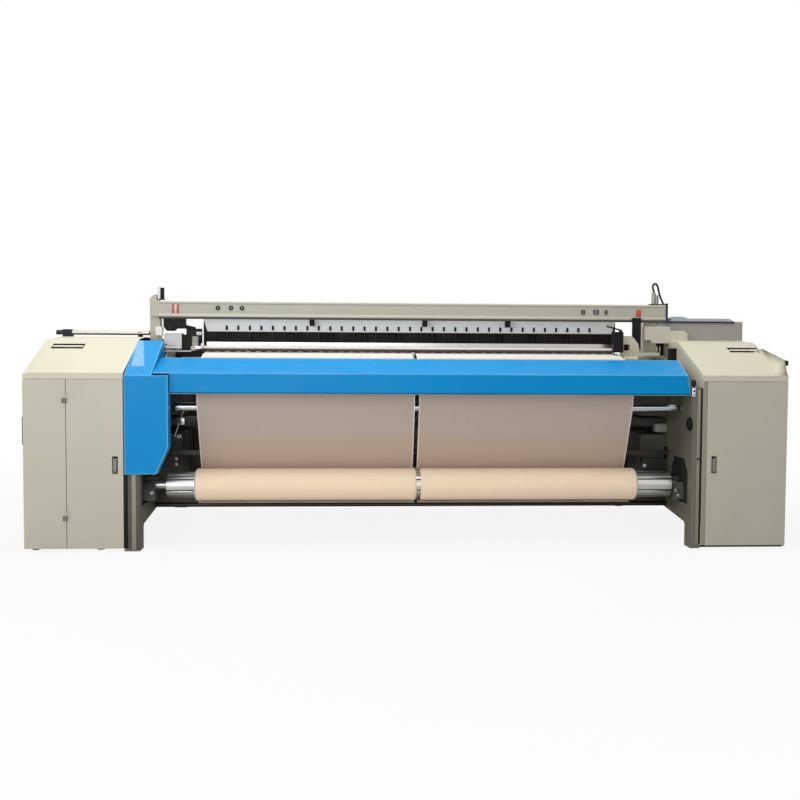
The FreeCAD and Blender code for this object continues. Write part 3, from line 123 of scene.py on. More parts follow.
class Finish(Graph):
    """A material with one Principled shader, known by its name in MATERIALS."""

    def __init__(self, name):
        self.material = MATERIALS[name] = bpy.data.materials.new(name)
        self.material.use_nodes = True
        super().__init__(self.material.node_tree)
        self.output = self.add("ShaderNodeOutputMaterial")
        self.shader = self.add("ShaderNodeBsdfPrincipled")
        self.put(self.shader.outputs["BSDF"], self.output.inputs["Surface"])
        self.place = self.add("ShaderNodeTexCoord").outputs["Object"]

    def feed(self, name, value):
        self.put(value, self.shader.inputs[name])

    def stretched(self, scale):
        """Object coordinates multiplied by a scale on each axis."""
        node = self.add("ShaderNodeMapping")
        self.put(scale, node.inputs["Scale"])
        self.put(self.place, node.inputs["Vector"])
        return node.outputs["Vector"]

    def cloud(self, scale, detail=3.0, vector=None):
        node = self.add("ShaderNodeTexNoise")
        self.put(scale, node.inputs["Scale"])
        self.put(detail, node.inputs["Detail"])
        self.put(vector or self.place, node.inputs["Vector"])
        return node.outputs["Fac"]

    def drawn_out(self, scales, detail=3.0):
        """Noise with its own scale on each axis."""
        return self.cloud(1.0, detail, self.stretched(scales))

    def lines(self, scale, distortion):
        """Fine threads side by side across the width."""
        node = self.add("ShaderNodeTexWave", bands_direction="X", wave_profile="SIN")
        self.put(scale, node.inputs["Scale"])
        self.put(distortion, node.inputs["Distortion"])
        self.put(self.place, node.inputs["Vector"])
        return node.outputs["Fac"]

    def spread(self, value, low, high, new_low=0.0, new_high=1.0):
        node = self.add("ShaderNodeMapRange")
        for name, number in (("From Min", low), ("From Max", high), ("To Min", new_low),
                             ("To Max", new_high)):
            self.put(number, node.inputs[name])
        self.put(value, node.inputs["Value"])
        return node.outputs["Result"]

    def varied(self, value, low, high):
        """A noise stretched so that its usual values run from low to high."""
        return self.spread(value, 0.3, 0.7, low, high)

    def place_on(self, axis):
        parts = self.add("ShaderNodeSeparateXYZ")
        self.put(self.place, parts.inputs["Vector"])
        return parts.outputs[axis]

    def along(self, axis, low, high):
        """0 at the low place on an axis and 1 at the high one, in metres."""
        return self.spread(self.place_on(axis), low, high)

    def near(self, axis, place, half, soft):
        """1 within half of a place on an axis, fading to 0 over a further soft."""
        away = self.calculate("ABSOLUTE", self.calculate("SUBTRACT", self.place_on(axis), place))
        return self.spread(away, half + soft, half)

    def times(self, first, second):
        return self.calculate("MULTIPLY", first, second)

    def plus(self, first, second):
        return self.calculate("ADD", first, second)

    def mixed(self, factor, first, second):
        """A colour between two, each a colour or a socket."""
        node = self.add("ShaderNodeMix", data_type="RGBA")
        for index, value in ((0, factor), (6, first), (7, second)):
            self.put(value, node.inputs[index])
        return node.outputs[2]

    def bumped(self, height, distance, strength):
        node = self.add("ShaderNodeBump")
        self.put(strength, node.inputs["Strength"])
        self.put(distance, node.inputs["Distance"])
        self.put(height, node.inputs["Height"])
        self.feed("Normal", node.outputs["Normal"])
        return node

    def bevelled(self, radius, samples):
        node = self.add("ShaderNodeBevel", samples=samples)
        self.put(radius, node.inputs["Radius"])
        return node.outputs["Normal"]

    def edge_mask(self, radius):
        """1 along edges, where the rounded normal leaves the flat one."""
        product = self.add("ShaderNodeVectorMath", operation="DOT_PRODUCT")
        self.put(self.bevelled(radius, 4), product.inputs[0])
        self.put(self.add("ShaderNodeNewGeometry").outputs["Normal"], product.inputs[1])
        return self.spread(product.outputs["Value"], 0.995, 0.93)


def paint(name, colour, roughness=0.42, edge_scuff_or_highlight_strength=0.25, dirt=0.12, coat=0.0, specular=0.5, low=None,
          edge=(0.0012, 0.62), rounded=0.0):
    """Sprayed paint: slight orange peel, faint clouding, dust towards the floor, scuffed edges or a
    painted highlight along them.

    Colours are screen values. low is a height in metres and the colour below it, edge the width of
    the edge marks and either a factor that darkens them as scuffs or a colour that paints a
    highlight along them, rounded a radius over which creases look soft.
    """
    g = Finish(name)
    colour = linear(*colour)
    tone = g.mixed(g.varied(g.cloud(1.7, 4.0), 0.0, 1.0), shaded(colour, 0.975),
                   shaded(colour, 1.025))
    if low:
        height, colour_below = low
        tone = g.mixed(g.along("Z", height - 0.0006, height + 0.0006), linear(*colour_below), tone)
    dust = g.times(g.along("Z", DUST_TOP, 0.0),
                   g.spread(g.cloud(5.0, 5.0), 0.2, 0.9, dirt * 0.8, dirt * 1.7))
    width, edge_tone = edge
    # an edge colour paints a highlight along edges and creases (painted light); a factor darkens
    # them as scuffs
    if isinstance(edge_tone, tuple):
        edge_colour = linear(*edge_tone)
        patchy_scuff_or_highlight = g.varied(g.cloud(2.0), 0.6 * edge_scuff_or_highlight_strength, edge_scuff_or_highlight_strength)
    else:
        edge_colour = shaded(colour, edge_tone)
        patchy_scuff_or_highlight = g.spread(g.cloud(24.0, 5.0), 0.5, 0.72, 0.0, edge_scuff_or_highlight_strength)
    edge_scuffs_or_highlight = g.times(g.edge_mask(width), patchy_scuff_or_highlight)
    g.feed("Base Color", g.mixed(edge_scuffs_or_highlight, g.mixed(dust, tone, linear(*DUST)), edge_colour))
    g.feed("Specular IOR Level", specular)
    g.feed("Roughness", g.varied(g.cloud(6.0, 5.0), roughness - 0.07, roughness + 0.09))
    peel = g.bumped(g.cloud(420.0, 2.0), 0.0003, 0.35)
    if rounded:
        g.put(g.bevelled(rounded, 16), peel.inputs["Normal"])
    if coat:
        g.feed("Coat Weight", coat)
        g.feed("Coat Roughness", 0.18)


def metal(name, colour, roughness, grain=(4.0, 900.0, 900.0), uneven=0.1, stain=0.3):
    """Bare metal with tool marks drawn out along one axis and faint oil stains."""
    g = Finish(name)
    colour = linear(*colour)
    marks = g.drawn_out(grain)
    stains = g.spread(g.cloud(14.0, 6.0), 0.45, 0.75, 0.0, stain)
    tone = g.mixed(marks, shaded(colour, 0.9), shaded(colour, 1.06))
    g.feed("Base Color", g.mixed(stains, tone, shaded(colour, 0.55)))
    g.feed("Roughness", g.varied(marks, max(roughness - uneven, 0.03), roughness + uneven))
    g.feed("Metallic", 1.0)
    g.bumped(marks, 0.0002, 0.25)


def casting(name, colour, roughness=0.6):
    """Cast iron under thin machine paint: pebbled skin, grimy hollows, edges scuffed to grey."""
    g = Finish(name)
    colour = linear(*colour)
    grime = g.spread(g.cloud(7.0, 7.0), 0.4, 0.75, 0.0, 0.55)
    tone = g.mixed(g.cloud(60.0, 4.0), shaded(colour, 0.85), shaded(colour, 1.12))
    edge_scuff_or_highlight_strength = g.times(g.edge_mask(0.004), g.spread(g.cloud(30.0, 4.0), 0.45, 0.65, 0.0, 0.6))
    grimy = g.mixed(grime, tone, shaded(colour, 0.45))
    g.feed("Base Color", g.mixed(edge_scuff_or_highlight_strength, grimy, linear(150, 148, 142)))
    g.feed("Roughness", g.varied(g.cloud(18.0, 4.0), roughness - 0.12, roughness + 0.12))
    g.bumped(g.cloud(260.0, 4.0), 0.0008, 0.6)


def moulded(name, colour, roughness, pebble=700.0, depth=0.00025, specular=0.5):
    """Moulded plastic or rubber with a fine texture and a few scuffs."""
    g = Finish(name)
    colour = linear(*colour)
    scuffs = g.spread(g.cloud(35.0, 6.0), 0.55, 0.8, 0.0, 0.35)
    tone = g.mixed(g.cloud(5.0), shaded(colour, 0.92), shaded(colour, 1.08))
    g.feed("Base Color", g.mixed(scuffs, tone, shaded(colour, 0.65, added=0.03)))
    g.feed("Roughness", g.varied(g.cloud(12.0, 4.0), roughness - 0.1, min(roughness + 0.1, 0.95)))
    g.bumped(g.cloud(pebble, 2.0), depth, 0.5)
    g.feed("Specular IOR Level", specular)


def woven(name, light, dark, selvedges, change=None, painted_light_strip=None):
    """Plain weave: threads both ways, faint weft bars and warp streaks, loose fibres.

    selvedges are the X places of the dense edges, change is a height and two colours below it, and
    the last argument a place on Y and two lighter colours behind it: painted light on the top of
    the cloth.
    """
    g = Finish(name)
    light, dark = linear(*light), linear(*dark)
    warp_threads = g.lines(1500 / 6.283, 0.4)
    picks = g.drawn_out((1.5, 900.0, 900.0), 2.0)
    streaks = g.drawn_out((90.0, 0.6, 0.6))
    bands = g.drawn_out((0.5, 16.0, 16.0))
    amount = g.plus(g.times(streaks, 0.5), g.times(bands, 0.5))
    tone = g.mixed(g.spread(amount, 0.0, 1.0), dark, light)
    if change:
        height, *colours = change
        tone = g.mixed(g.along("Z", height - 0.004, height + 0.004),
                       g.mixed(amount, *(linear(*colour) for colour in colours)), tone)
    for edge in selvedges:
        tone = g.mixed(g.near("X", edge, 0.006, 0.003), tone, linear(226, 218, 206))
    # painted light: a lighter strip at the top of the cloth, from a place on Y backwards
    if painted_light_strip:
        start, *colours = painted_light_strip
        tone = g.mixed(g.along("Y", start, start + 0.01), tone,
                       g.mixed(amount, *(linear(*colour) for colour in colours)))
    g.feed("Base Color", g.mixed(g.times(g.cloud(1100.0), 0.22), tone, shaded(dark, 0.7)))
    g.feed("Roughness", g.varied(bands, 0.78, 0.92))
    g.bumped(g.plus(g.times(warp_threads, 0.5), g.times(picks, 0.7)), 0.0004, 0.6)
    g.feed("Sheen Weight", 0.25)
    g.feed("Sheen Roughness", 0.45)


def yarns(name, light, dark, pitch):
    """Parallel warp ends: fine threads side by side across the width."""
    g = Finish(name)
    threads = g.lines(1 / (20 * pitch), 1.2)
    streaks = g.drawn_out((160.0, 1.2, 1.2), 4.0)
    amount = g.plus(g.times(threads, 0.35), g.times(streaks, 0.65))
    g.feed("Base Color", g.mixed(g.spread(amount, 0.25, 0.75), linear(*dark), linear(*light)))
    g.feed("Roughness", g.varied(streaks, 0.72, 0.88))
    g.bumped(g.plus(threads, g.times(g.cloud(900.0), 0.4)), 0.0006, 0.6)
    g.feed("Sheen Weight", 0.3)


# the blue paints' edge colour is a pale highlight along the blue covers' edges and creases: painted
# light
BLUE = {"colour": (0, 135, 198), "roughness": 0.36, "edge_scuff_or_highlight_strength": 0.9, "coat": 0.03, "specular": 0.12,
        "edge": (0.010, (140, 208, 240))}

# finishes of the record's material slots
# one cabinet paint in two copies: the tops' copy is lighter and the fronts' darker, painted light
# and shade
paint("cabinet_paint", (186, 182, 166))
paint("top_paint", (198, 194, 172), edge_scuff_or_highlight_strength=0.2)
paint("blue_paint", dirt=0.02, **BLUE)
paint("frame_paint", (100, 98, 86), roughness=0.5, edge_scuff_or_highlight_strength=0.4, dirt=0.15)
paint("rail_paint", (174, 171, 157), roughness=0.4, edge_scuff_or_highlight_strength=0.3)
metal("dark_steel", (70, 66, 62), 0.45, uneven=0.15)
metal("bright_steel", (205, 204, 200), 0.27, stain=0.2)
metal("chrome", (200, 201, 203), 0.16, uneven=0.06, stain=0.1)
casting("cast_part", (88, 88, 80))
metal("aluminium", (232, 231, 228), 0.38, stain=0.08)
moulded("black_plastic", (22, 21, 21), 0.55, specular=0.15)
moulded("white_plastic", (232, 231, 226), 0.35)
moulded("grey_plastic", (150, 148, 143), 0.5)
moulded("grip_rubber", (62, 58, 54), 0.75, pebble=350.0, depth=0.0008)
moulded("belt_rubber", (40, 39, 38), 0.7, pebble=500.0)
# the cloth sheets get painted light on their top strip, behind -0.535 m
woven("cloth", (199, 183, 171), (189, 171, 159), (-1.357, 0.021, 0.047, 1.432),
      change=(0.684, (190, 169, 150), (200, 179, 160)),
      painted_light_strip=(-0.535, (210, 204, 195), (226, 221, 212)))
# painted light: the wound cloth is a much lighter copy of the sheets' cloth
woven("cloth_wound", (255, 233, 204), (249, 223, 191), (-1.372, 1.473))
yarns("yarn", (232, 222, 200), (196, 184, 160), 0.0012)

# finishes of single places
# near black: painted shade on the cabinets' inner faces, seen through gaps and slots
paint("inside_painted_shade", (32, 32, 29), roughness=0.7, edge_scuff_or_highlight_strength=0.1)
# the front posts' ribs get a lighter copy of the frame paint (painted highlight), their sides a
# darker one (painted shade)
paint("post_rib_painted_highlight", (131, 129, 113), roughness=0.5, edge_scuff_or_highlight_strength=0.3, dirt=0.1)
paint("post_side_painted_shade", (66, 65, 56), roughness=0.6, edge_scuff_or_highlight_strength=0.2, dirt=0.1)
paint("fold_painted_shade", (145, 141, 123))
paint("post_painted_light", (224, 220, 200), roughness=0.45, edge_scuff_or_highlight_strength=0.2, dirt=0.0)
paint("bar_black", (26, 26, 27), roughness=0.5, edge_scuff_or_highlight_strength=0.2, dirt=0.0, specular=0.2)
# near black: painted shade in the side frames' hollows and on the louvre slots' walls
casting("recess_painted_shade", (26, 26, 25), roughness=0.75)
# painted shade: the next two finishes darken the blue beam cover's lower lip, below 975 mm and
# 0.980 m
paint("blue_lip_painted_shade", (24, 62, 88), roughness=0.45, edge_scuff_or_highlight_strength=0.2)
paint("beam_blue", dirt=0.0, low=(0.980, (24, 66, 92)), **BLUE)
paint("ear_paint", (196, 192, 170), edge_scuff_or_highlight_strength=0.1, rounded=0.1)
paint("nozzle_enamel", (206, 206, 202), roughness=0.4, edge_scuff_or_highlight_strength=0.3, dirt=0.0)
moulded("latch_paint", (128, 126, 114), 0.5)
paint("blue_panel", (98, 158, 206), roughness=0.3, edge_scuff_or_highlight_strength=0.1, dirt=0.0, coat=0.2)
paint("navy_plate", (22, 30, 66), roughness=0.4, edge_scuff_or_highlight_strength=0.2)
paint("rail_ledge", (108, 107, 97), roughness=0.5, edge_scuff_or_highlight_strength=0.3)
paint("rail_shadow", (58, 56, 50), roughness=0.6, edge_scuff_or_highlight_strength=0.2, dirt=0.0)
# painted highlight: a lighter copy of the rail paint, for the rail's lower strip, the clamp bar's
# top faces and small plates
paint("rail_strip_painted_highlight", (194, 191, 175), roughness=0.35, edge_scuff_or_highlight_strength=0.2)
paint("box_paint", (152, 149, 143), roughness=0.45)
# painted shadow: a near-black band on the lid below 1.464 m, under its front edge
paint("lid_paint", (162, 168, 176), roughness=0.35, low=(1.464, (12, 18, 34)))
casting("bracket_cast", (206, 201, 180), roughness=0.5)
paint("housing_cast", (196, 192, 176), roughness=0.5, edge_scuff_or_highlight_strength=0.3)
metal("heald_steel", (38, 36, 34), 0.55, grain=(900.0, 900.0, 4.0))
paint("slat_enamel", (250, 250, 249), roughness=0.3, edge_scuff_or_highlight_strength=0.15, dirt=0.0)
# painted reflection: the temple tube's lower half, below 1.2535 m, is dark brown, the dark machine
# below seen in it
paint("temple_steel", (184, 182, 177), roughness=0.25, edge_scuff_or_highlight_strength=0.1, dirt=0.0, coat=0.3,
      low=(1.2535, (58, 46, 38)))
paint("red_enamel", (186, 78, 62), roughness=0.4, edge_scuff_or_highlight_strength=0.2, dirt=0.0)

for node_name, node_object in NODES.items():
    node_object.data.materials.clear()
    node_object.data.materials.append(MATERIALS[SLOT_OF[node_name]])


# ---------------------------------------------------------------- finishes on the CAD's faces

def refinish(nodes, material, *tests):
    """Give nodes, or those of their faces that pass one of the tests, another finish."""
    for node in nodes.split():
        mesh = NODES[node].data
        if not tests:
            mesh.materials.clear()
        mesh.materials.append(MATERIALS[material])
        for polygon in mesh.polygons:
            x, y, z = polygon.center
            middle = (x * 1000, (y + HALF_DEPTH) * 1000, z * 1000)
            if any(test(*middle, polygon.normal) for test in tests):
                polygon.material_index = len(mesh.materials) - 1


def faces(x=(-FAR, FAR), depth=(-FAR, FAR), z=(-FAR, FAR), facing=None):
    """A test for faces whose middle lies between limits and whose normal leans one way.

    facing is an axis and how much of the normal has to point along it, or against it if negative.
    """
    def test(face_x, face_depth, face_z, normal):
        if facing:
            axis, least = facing
            share = getattr(normal, axis)
            if not (share > least if least > 0 else share < least):
                return False
        return x[0] < face_x < x[1] and depth[0] < face_depth < depth[1] and z[0] < face_z < z[1]
    return test


def in_recess(x, depth, z, normal):
    """Inside one of the hollows in the inner face of a side frame."""
    sunk = -1707 < x < -1681 or 1768 < x < 1794
    return sunk and 265 < z < 605 and (75 < depth < 390 or 475 < depth < 1185)


def in_louvre(x, depth, z, normal):
    """On an upright wall of a louvre slot in a cabinet's slope."""
    beside = -2300 < x < -2105 or 2135 < x < 2330
    return beside and 325 < depth < 405 and z > 1200 and abs(normal.z) < 0.5


def on_raised_panel(x, depth, z, normal):
    """On top of the panel that stands on the blue end cover's slope."""
    above_slope = z - 1084 - depth * 216 / 410
    return normal.z > 0.5 and -1769 < x < -1665 and 90 < depth < 405 and above_slope > 3


# painted shade in the hollows of the side frames' inner faces
refinish("left_side_frame right_side_frame", "recess_painted_shade", in_recess)
# painted shade on the cabinets' inner faces and undersides
refinish("left_top_cover right_top_cover", "inside_painted_shade", faces(facing=("z", -0.3)))
refinish("left_outer_panel", "inside_painted_shade", faces(facing=("x", 0.5)))
refinish("right_outer_panel", "inside_painted_shade", faces(facing=("x", -0.5)))
refinish("right_inner_panel", "inside_painted_shade", faces(facing=("x", 0.5)))
refinish("cabinet_rear_panels", "inside_painted_shade", faces(facing=("y", -0.5)))
refinish("cabinet_base_plates", "inside_painted_shade", faces(facing=("z", 0.5)))
refinish("left_end_cover", "blue_panel", on_raised_panel)
refinish("beam_cover", "beam_blue")
# painted shade on the beam cover's lower lip
refinish("beam_cover", "blue_lip_painted_shade", faces(z=(-FAR, 975)))
refinish("right_top_cover", "ear_paint",
         faces(x=(2296, FAR), depth=(-FAR, 390), z=(1100, FAR), facing=("z", 0.05)))
refinish("left_latch right_latch", "latch_paint")
refinish("guide_roller", "dark_steel", faces(x=(1724.5, FAR)), faces(x=(-FAR, -1489.5)))
refinish("door_hinges", "rail_ledge")
# painted shade: a darker copy of the cabinet paint on the right inner panel's front fold
refinish("right_inner_panel", "fold_painted_shade", faces(depth=(-FAR, 20), facing=("y", -0.5)))
# painted light: a lighter paint on the right column's lower part, which lies in shade
refinish("rail_columns", "post_painted_light", faces(x=(1600, FAR), z=(-FAR, 1462)))
refinish("rear_clamp_bar", "bar_black")
# painted highlight on the clamp bar's top faces
refinish("rear_clamp_bar", "rail_strip_painted_highlight",
         faces(x=(-2320, FAR), depth=(-FAR, 712), facing=("z", 0.3)))
# painted shade on the louvre slots' walls
refinish("left_top_cover right_top_cover", "recess_painted_shade", in_louvre)
refinish("top_rail", "rail_shadow", faces(z=(-FAR, 1468.5)))
refinish("left_signal_unit", "black_plastic")
refinish("left_signal_unit", "white_plastic", faces(x=(-FAR, -1683.4), z=(1590, FAR)))
refinish("right_signal_unit", "dark_steel")
refinish("right_signal_unit", "grey_plastic",
         faces(x=(-FAR, 1749), depth=(-FAR, 734), z=(1584, 1661.5)))
refinish("right_signal_unit", "white_plastic",
         faces(x=(1749.4, FAR), depth=(724.2, FAR), z=(1584, 1646)))
refinish("right_signal_unit", "black_plastic", faces(z=(1661.5, FAR)),
         faces(x=(1748.6, FAR), depth=(-FAR, 724.2), z=(1584, FAR)))
refinish("rail_fittings", "black_plastic")
refinish("rail_fittings", "navy_plate", faces(x=(1808, FAR)))
refinish("selvedge_units", "black_plastic")
refinish("cutter_block", "black_plastic")
refinish("cutter_block", "grey_plastic", faces(x=(-1447.5, FAR), depth=(562, FAR)))
refinish("cutter_block", "bracket_cast", faces(x=(-1447.5, FAR), depth=(-FAR, 562)))
refinish("selvedge_bracket", "bracket_cast")
refinish("selvedge_bracket", "black_plastic", faces(x=(-FAR, 1464), depth=(-FAR, 553)),
         faces(x=(-FAR, 1450.5), z=(1376, FAR)))
refinish("selvedge_bracket", "rail_strip_painted_highlight", faces(x=(1590, FAR)))
refinish("nozzle_housing", "nozzle_enamel")
refinish("nozzle_housing", "white_plastic", faces(x=(-FAR, -1660)))
refinish("stepped_housing", "housing_cast")
refinish("control_box", "box_paint")
refinish("control_box_lid", "lid_paint")
refinish("temple_tube", "temple_steel")
for number in (1, 2, 3, 4):
    refinish(f"heald_frame_{number}", "slat_enamel")
    refinish(f"heald_frame_{number}", "heald_steel", faces(z=(-FAR, 1369)))


# ---------------------------------------------------------------- mesh helpers

SHARP_FROM = math.radians(35)  # edges bent more than this are drawn sharp


def link_object(name, data):
    item = bpy.data.objects.new(name, data)
    bpy.context.scene.collection.objects.link(item)
    return item


def mesh_piece(name, build, material, body="machine", smooth=True):
    """A mesh object made by a function that fills a bmesh, riding on a body."""
    mesh = bpy.data.meshes.new(name)
    work = bmesh.new()
    build(work)
    work.to_mesh(mesh)
    work.free()
    for polygon in mesh.polygons:
        polygon.use_smooth = smooth
    if smooth:
        mesh.set_sharp_from_angle(angle=SHARP_FROM)
    item = link_object(name, mesh)
    mesh.materials.append(MATERIALS[material])
    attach(item, body)
    return item


def full_turn(segments):
    return [2 * math.pi * k / segments for k in range(segments)]


def join_rings(work, rings):
    """Faces between closed rings of vertices that follow each other."""
    for low, high in zip(rings, rings[1:]):
        for k in range(len(low)):
            work.faces.new((low[k - 1], low[k], high[k], high[k - 1]))


def add_block(work, low, high, rounding=0.8):
    """A block between two corners (x, depth, z in millimetres) with rounded edges."""
    low, high = at(*low), at(*high)
    made = bmesh.ops.create_cube(work, size=1.0)["verts"]
    for vertex in made:
        vertex.co = Vector(low[i] + (high[i] - low[i]) * (vertex.co[i] + 0.5) for i in range(3))
    edges = list(dict.fromkeys(edge for vertex in made for edge in vertex.link_edges))
    bmesh.ops.bevel(work, geom=edges, offset=rounding / 1000, segments=2, affect="EDGES",
                    profile=0.5)


def add_turned(work, base, axis, outline, segments=24):
    """A turned form from a base point along an axis, through (distance, radius) pairs."""
    axis = Vector(axis).normalized()
    side = axis.orthogonal().normalized()
    other = axis.cross(side)
    rings = []
    for distance, radius in outline:
        middle = base + axis * distance / 1000
        rings.append([work.verts.new(
            middle + (side * math.cos(angle) + other * math.sin(angle)) * radius / 1000)
            for angle in full_turn(segments)])
    join_rings(work, rings)
    work.faces.new(rings[0][::-1])
    work.faces.new(rings[-1])


def blocks_piece(name, blocks, material, body="machine", rounding=0.8):
    """One piece made of rounded blocks, each given by its two corners."""
    def build(work):
        for low, high in blocks:
            add_block(work, low, high, rounding)
    return mesh_piece(name, build, material, body)


def at_each(places, low, high):
    """The corners of the same block at several X places, with X counted from each."""
    return [((x + low[0], *low[1:]), (x + high[0], *high[1:])) for x in places]


def turned_piece(name, bases, axis, outline, material, segments=24):
    """One piece made of equal turned forms that stand on several base points."""
    def build(work):
        for base in bases:
            add_turned(work, at(*base), axis, outline, segments)
    return mesh_piece(name, build, material)


# radius in millimetres above which there are grooves, their depth in metres, half width in degrees
GROOVED_ABOVE, GROOVE_DEPTH, GROOVE_HALF = 60, 0.0045, 4.0


def lathe(name, outline, axis, material, body, segments=96, wobble=0.0, grooves=()):
    """A surface of revolution about a line along X, from (x, radius) pairs in millimetres.

    wobble is an unevenness in metres, and grooves are the angles in degrees of narrow grooves.
    """
    centre = at(0, *axis)

    def build(work):
        rings = []
        for x, radius in outline:
            ring = []
            for angle in full_turn(segments):
                r = radius / 1000
                for groove in grooves if radius > GROOVED_ABOVE else ():
                    away = abs((math.degrees(angle) - groove + 180) % 360 - 180)
                    r -= GROOVE_DEPTH * max(0.0, 1 - (away / GROOVE_HALF) ** 2)
                if wobble:
                    r += wobble * noise.noise(
                        Vector((x * 0.006, math.cos(angle) * 1.3, math.sin(angle) * 1.3)))
                ring.append(work.verts.new(
                    (x / 1000, centre.y + r * math.cos(angle), centre.z + r * math.sin(angle))))
            rings.append(ring)
        join_rings(work, rings)
        work.normal_update()
        bmesh.ops.recalc_face_normals(work, faces=work.faces)

    return mesh_piece(name, build, material, body)


# ---------------------------------------------------------------- cloth and warp

STEP, TURN_STEP = 0.02, math.radians(6)  # spacing of a sheet's points, straight and round rollers
FULL_RIPPLE_FROM = 0.15  # a free span this long, in metres, ripples fully


def path_points(stops):
    """Points (y, z, share of ripple) on a path round stops (y, z, radius, turn), in metres."""
    headings = []
    for (y1, z1, r1, t1), (y2, z2, r2, t2) in zip(stops, stops[1:]):
        reach = math.hypot(y2 - y1, z2 - z1)
        headings.append(math.atan2(z2 - z1, y2 - y1) - math.asin((t2 * r2 - t1 * r1) / reach))

    def touch(stop, heading):
        y, z, radius, turn = stop
        return (y + turn * radius * math.sin(heading), z - turn * radius * math.cos(heading))

    points = []
    for i, heading in enumerate(headings):
        start, end = touch(stops[i], heading), touch(stops[i + 1], heading)
        length = math.dist(start, end)
        parts = max(1, round(length / STEP))
        for share in (k / parts for k in range(parts)):
            points.append((start[0] + share * (end[0] - start[0]),
                           start[1] + share * (end[1] - start[1]),
                           math.sin(math.pi * share) * min(1.0, length / FULL_RIPPLE_FROM)))
        if i + 1 < len(headings):
            turn = stops[i + 1][3]
            sweep = (turn * (headings[i + 1] - heading)) % (2 * math.pi)
            parts = max(1, math.ceil(sweep / TURN_STEP))
            points += [(*touch(stops[i + 1], heading + turn * sweep * k / parts), 0.0)
                       for k in range(parts)]
    return points + [(*touch(stops[-1], headings[-1]), 0.0)]


def band(name, stops, left, right, material, columns, ripple, replaced):
    """A stretched sheet along a path, with shallow ripples where it spans freely."""
    points = path_points([(y / 1000 - HALF_DEPTH, z / 1000, r / 1000, t) for y, z, r, t in stops])
    left, right = left / 1000, right / 1000

    def build(work):
        rows = []
        for i, (y, z, free) in enumerate(points):
            before, after = points[max(i - 1, 0)], points[min(i + 1, len(points) - 1)]
            along = Vector((0, after[0] - before[0], after[1] - before[1])).normalized()
            across = Vector((0, -along.z, along.y))
            row = []
            for k in range(columns + 1):
                x = left + (right - left) * k / columns
                broad = noise.noise(Vector((x * 5.5, i * 0.02, 3.1)))
                narrow = noise.noise(Vector((x * 17, i * 0.05, 8.2)))
                height = ripple * free * (broad + 0.5 * narrow)
                row.append(work.verts.new(Vector((x, y, z)) + across * height))
            rows.append(row)
        for low, high in zip(rows, rows[1:]):
            for corners in zip(low, low[1:], high[1:], high):
                work.faces.new(corners)

    item = mesh_piece(name, build, material)
    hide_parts(replaced)


LIFT = 0.9  # how far a sheet's middle lies off the rollers that carry it
PRESS_AXIS = (TAKE_UP_AXIS[0] - TAKE_UP_RADIUS - PRESS_RADIUS - PRESS_GAP, TAKE_UP_AXIS[1])
# Each stop is (depth, height, radius, turn). The last one sets where a sheet leaves its roll.
CLOTH_STOPS = [(*FELL, 0, 0), (*GUIDE_BAR, BAR_RADIUS + LIFT, 1),
               (*TAKE_UP_AXIS, TAKE_UP_RADIUS + LIFT, -1), (*PRESS_AXIS, PRESS_RADIUS + LIFT, 1),
               (*GUIDE_AXIS, GUIDE_RADIUS + LIFT, 1), (*ROLL_AXIS, ROLL_RADIUS + LIFT, -1),
               (220, 266, 0, 0)]
WARP_STOPS = [(*WARP_START, 0, 0), (*BACK_REST_AXIS, BACK_REST_RADIUS + LIFT, -1),
              (*BEAM_AXIS, BEAM_RADIUS + LIFT, -1), (1414, 302, 0, 0)]

for side, left, right in (("left", -1357, 21), ("right", 47, 1432)):
    band(f"cloth_{side}_sheet", CLOTH_STOPS, left, right, "cloth", columns=90, ripple=0.0011,
         replaced=f"cloth_{side}")
band("warp_yarn_sheet", WARP_STOPS, -1397, 1472, "yarn", columns=120, ripple=0.0008,
     replaced="warp_sheet")


def wound_outline(left, right, core, outer, ragged, shoulder):
    """Outline of a winding: flat ends with slightly uneven layers, rounded shoulders."""
    layers, shoulder_steps, steps = 8, 6, 40

    def uneven(k, seed):
        return ragged * (0.5 + 0.5 * noise.noise(Vector((k * 1.7, seed, 0.3))))

    def half(end, inward):
        """One end from the core outwards, with inward 1 at the left end and -1 at the right."""
        radii = [core + (outer - shoulder - core) * k / layers for k in range(layers + 1)]
        turn = [math.pi / 2 * k / shoulder_steps for k in range(1, shoulder_steps + 1)]
        return ([(end + inward * uneven(k, end), radius) for k, radius in enumerate(radii)]
                + [(end + inward * (ragged + shoulder * (1 - math.cos(t))),
                    outer - shoulder * (1 - math.sin(t))) for t in turn])

    start, end = half(left, 1), half(right, -1)
    low, high = start[-1][0], end[-1][0]
    return start + [(low + (high - low) * k / steps, outer) for k in range(1, steps)] + end[::-1]


WOUND_CLOTH = {"core": 84.3, "outer": 103.8, "ragged": 2.0, "shoulder": 13}
WOUND_YARN = {"core": 90.4, "outer": 329.6, "ragged": 1.0, "shoulder": 4}
windings = [lathe(f"winding_{side}", wound_outline(left, right, **WOUND_CLOTH), ROLL_AXIS,
                  "cloth_wound", "cloth_roll", wobble=0.0002)
            for side, left, right in (("left", -1380, 37.5), ("right", 63.5, 1481))]
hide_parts("cloth_winding")
beam_yarn = lathe("beam_yarn", wound_outline(-1404, 1479, **WOUND_YARN), BEAM_AXIS, "yarn", "warp",
                  wobble=0.0004)
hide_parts("warp_yarn")


# ---------------------------------------------------------------- cloth tube

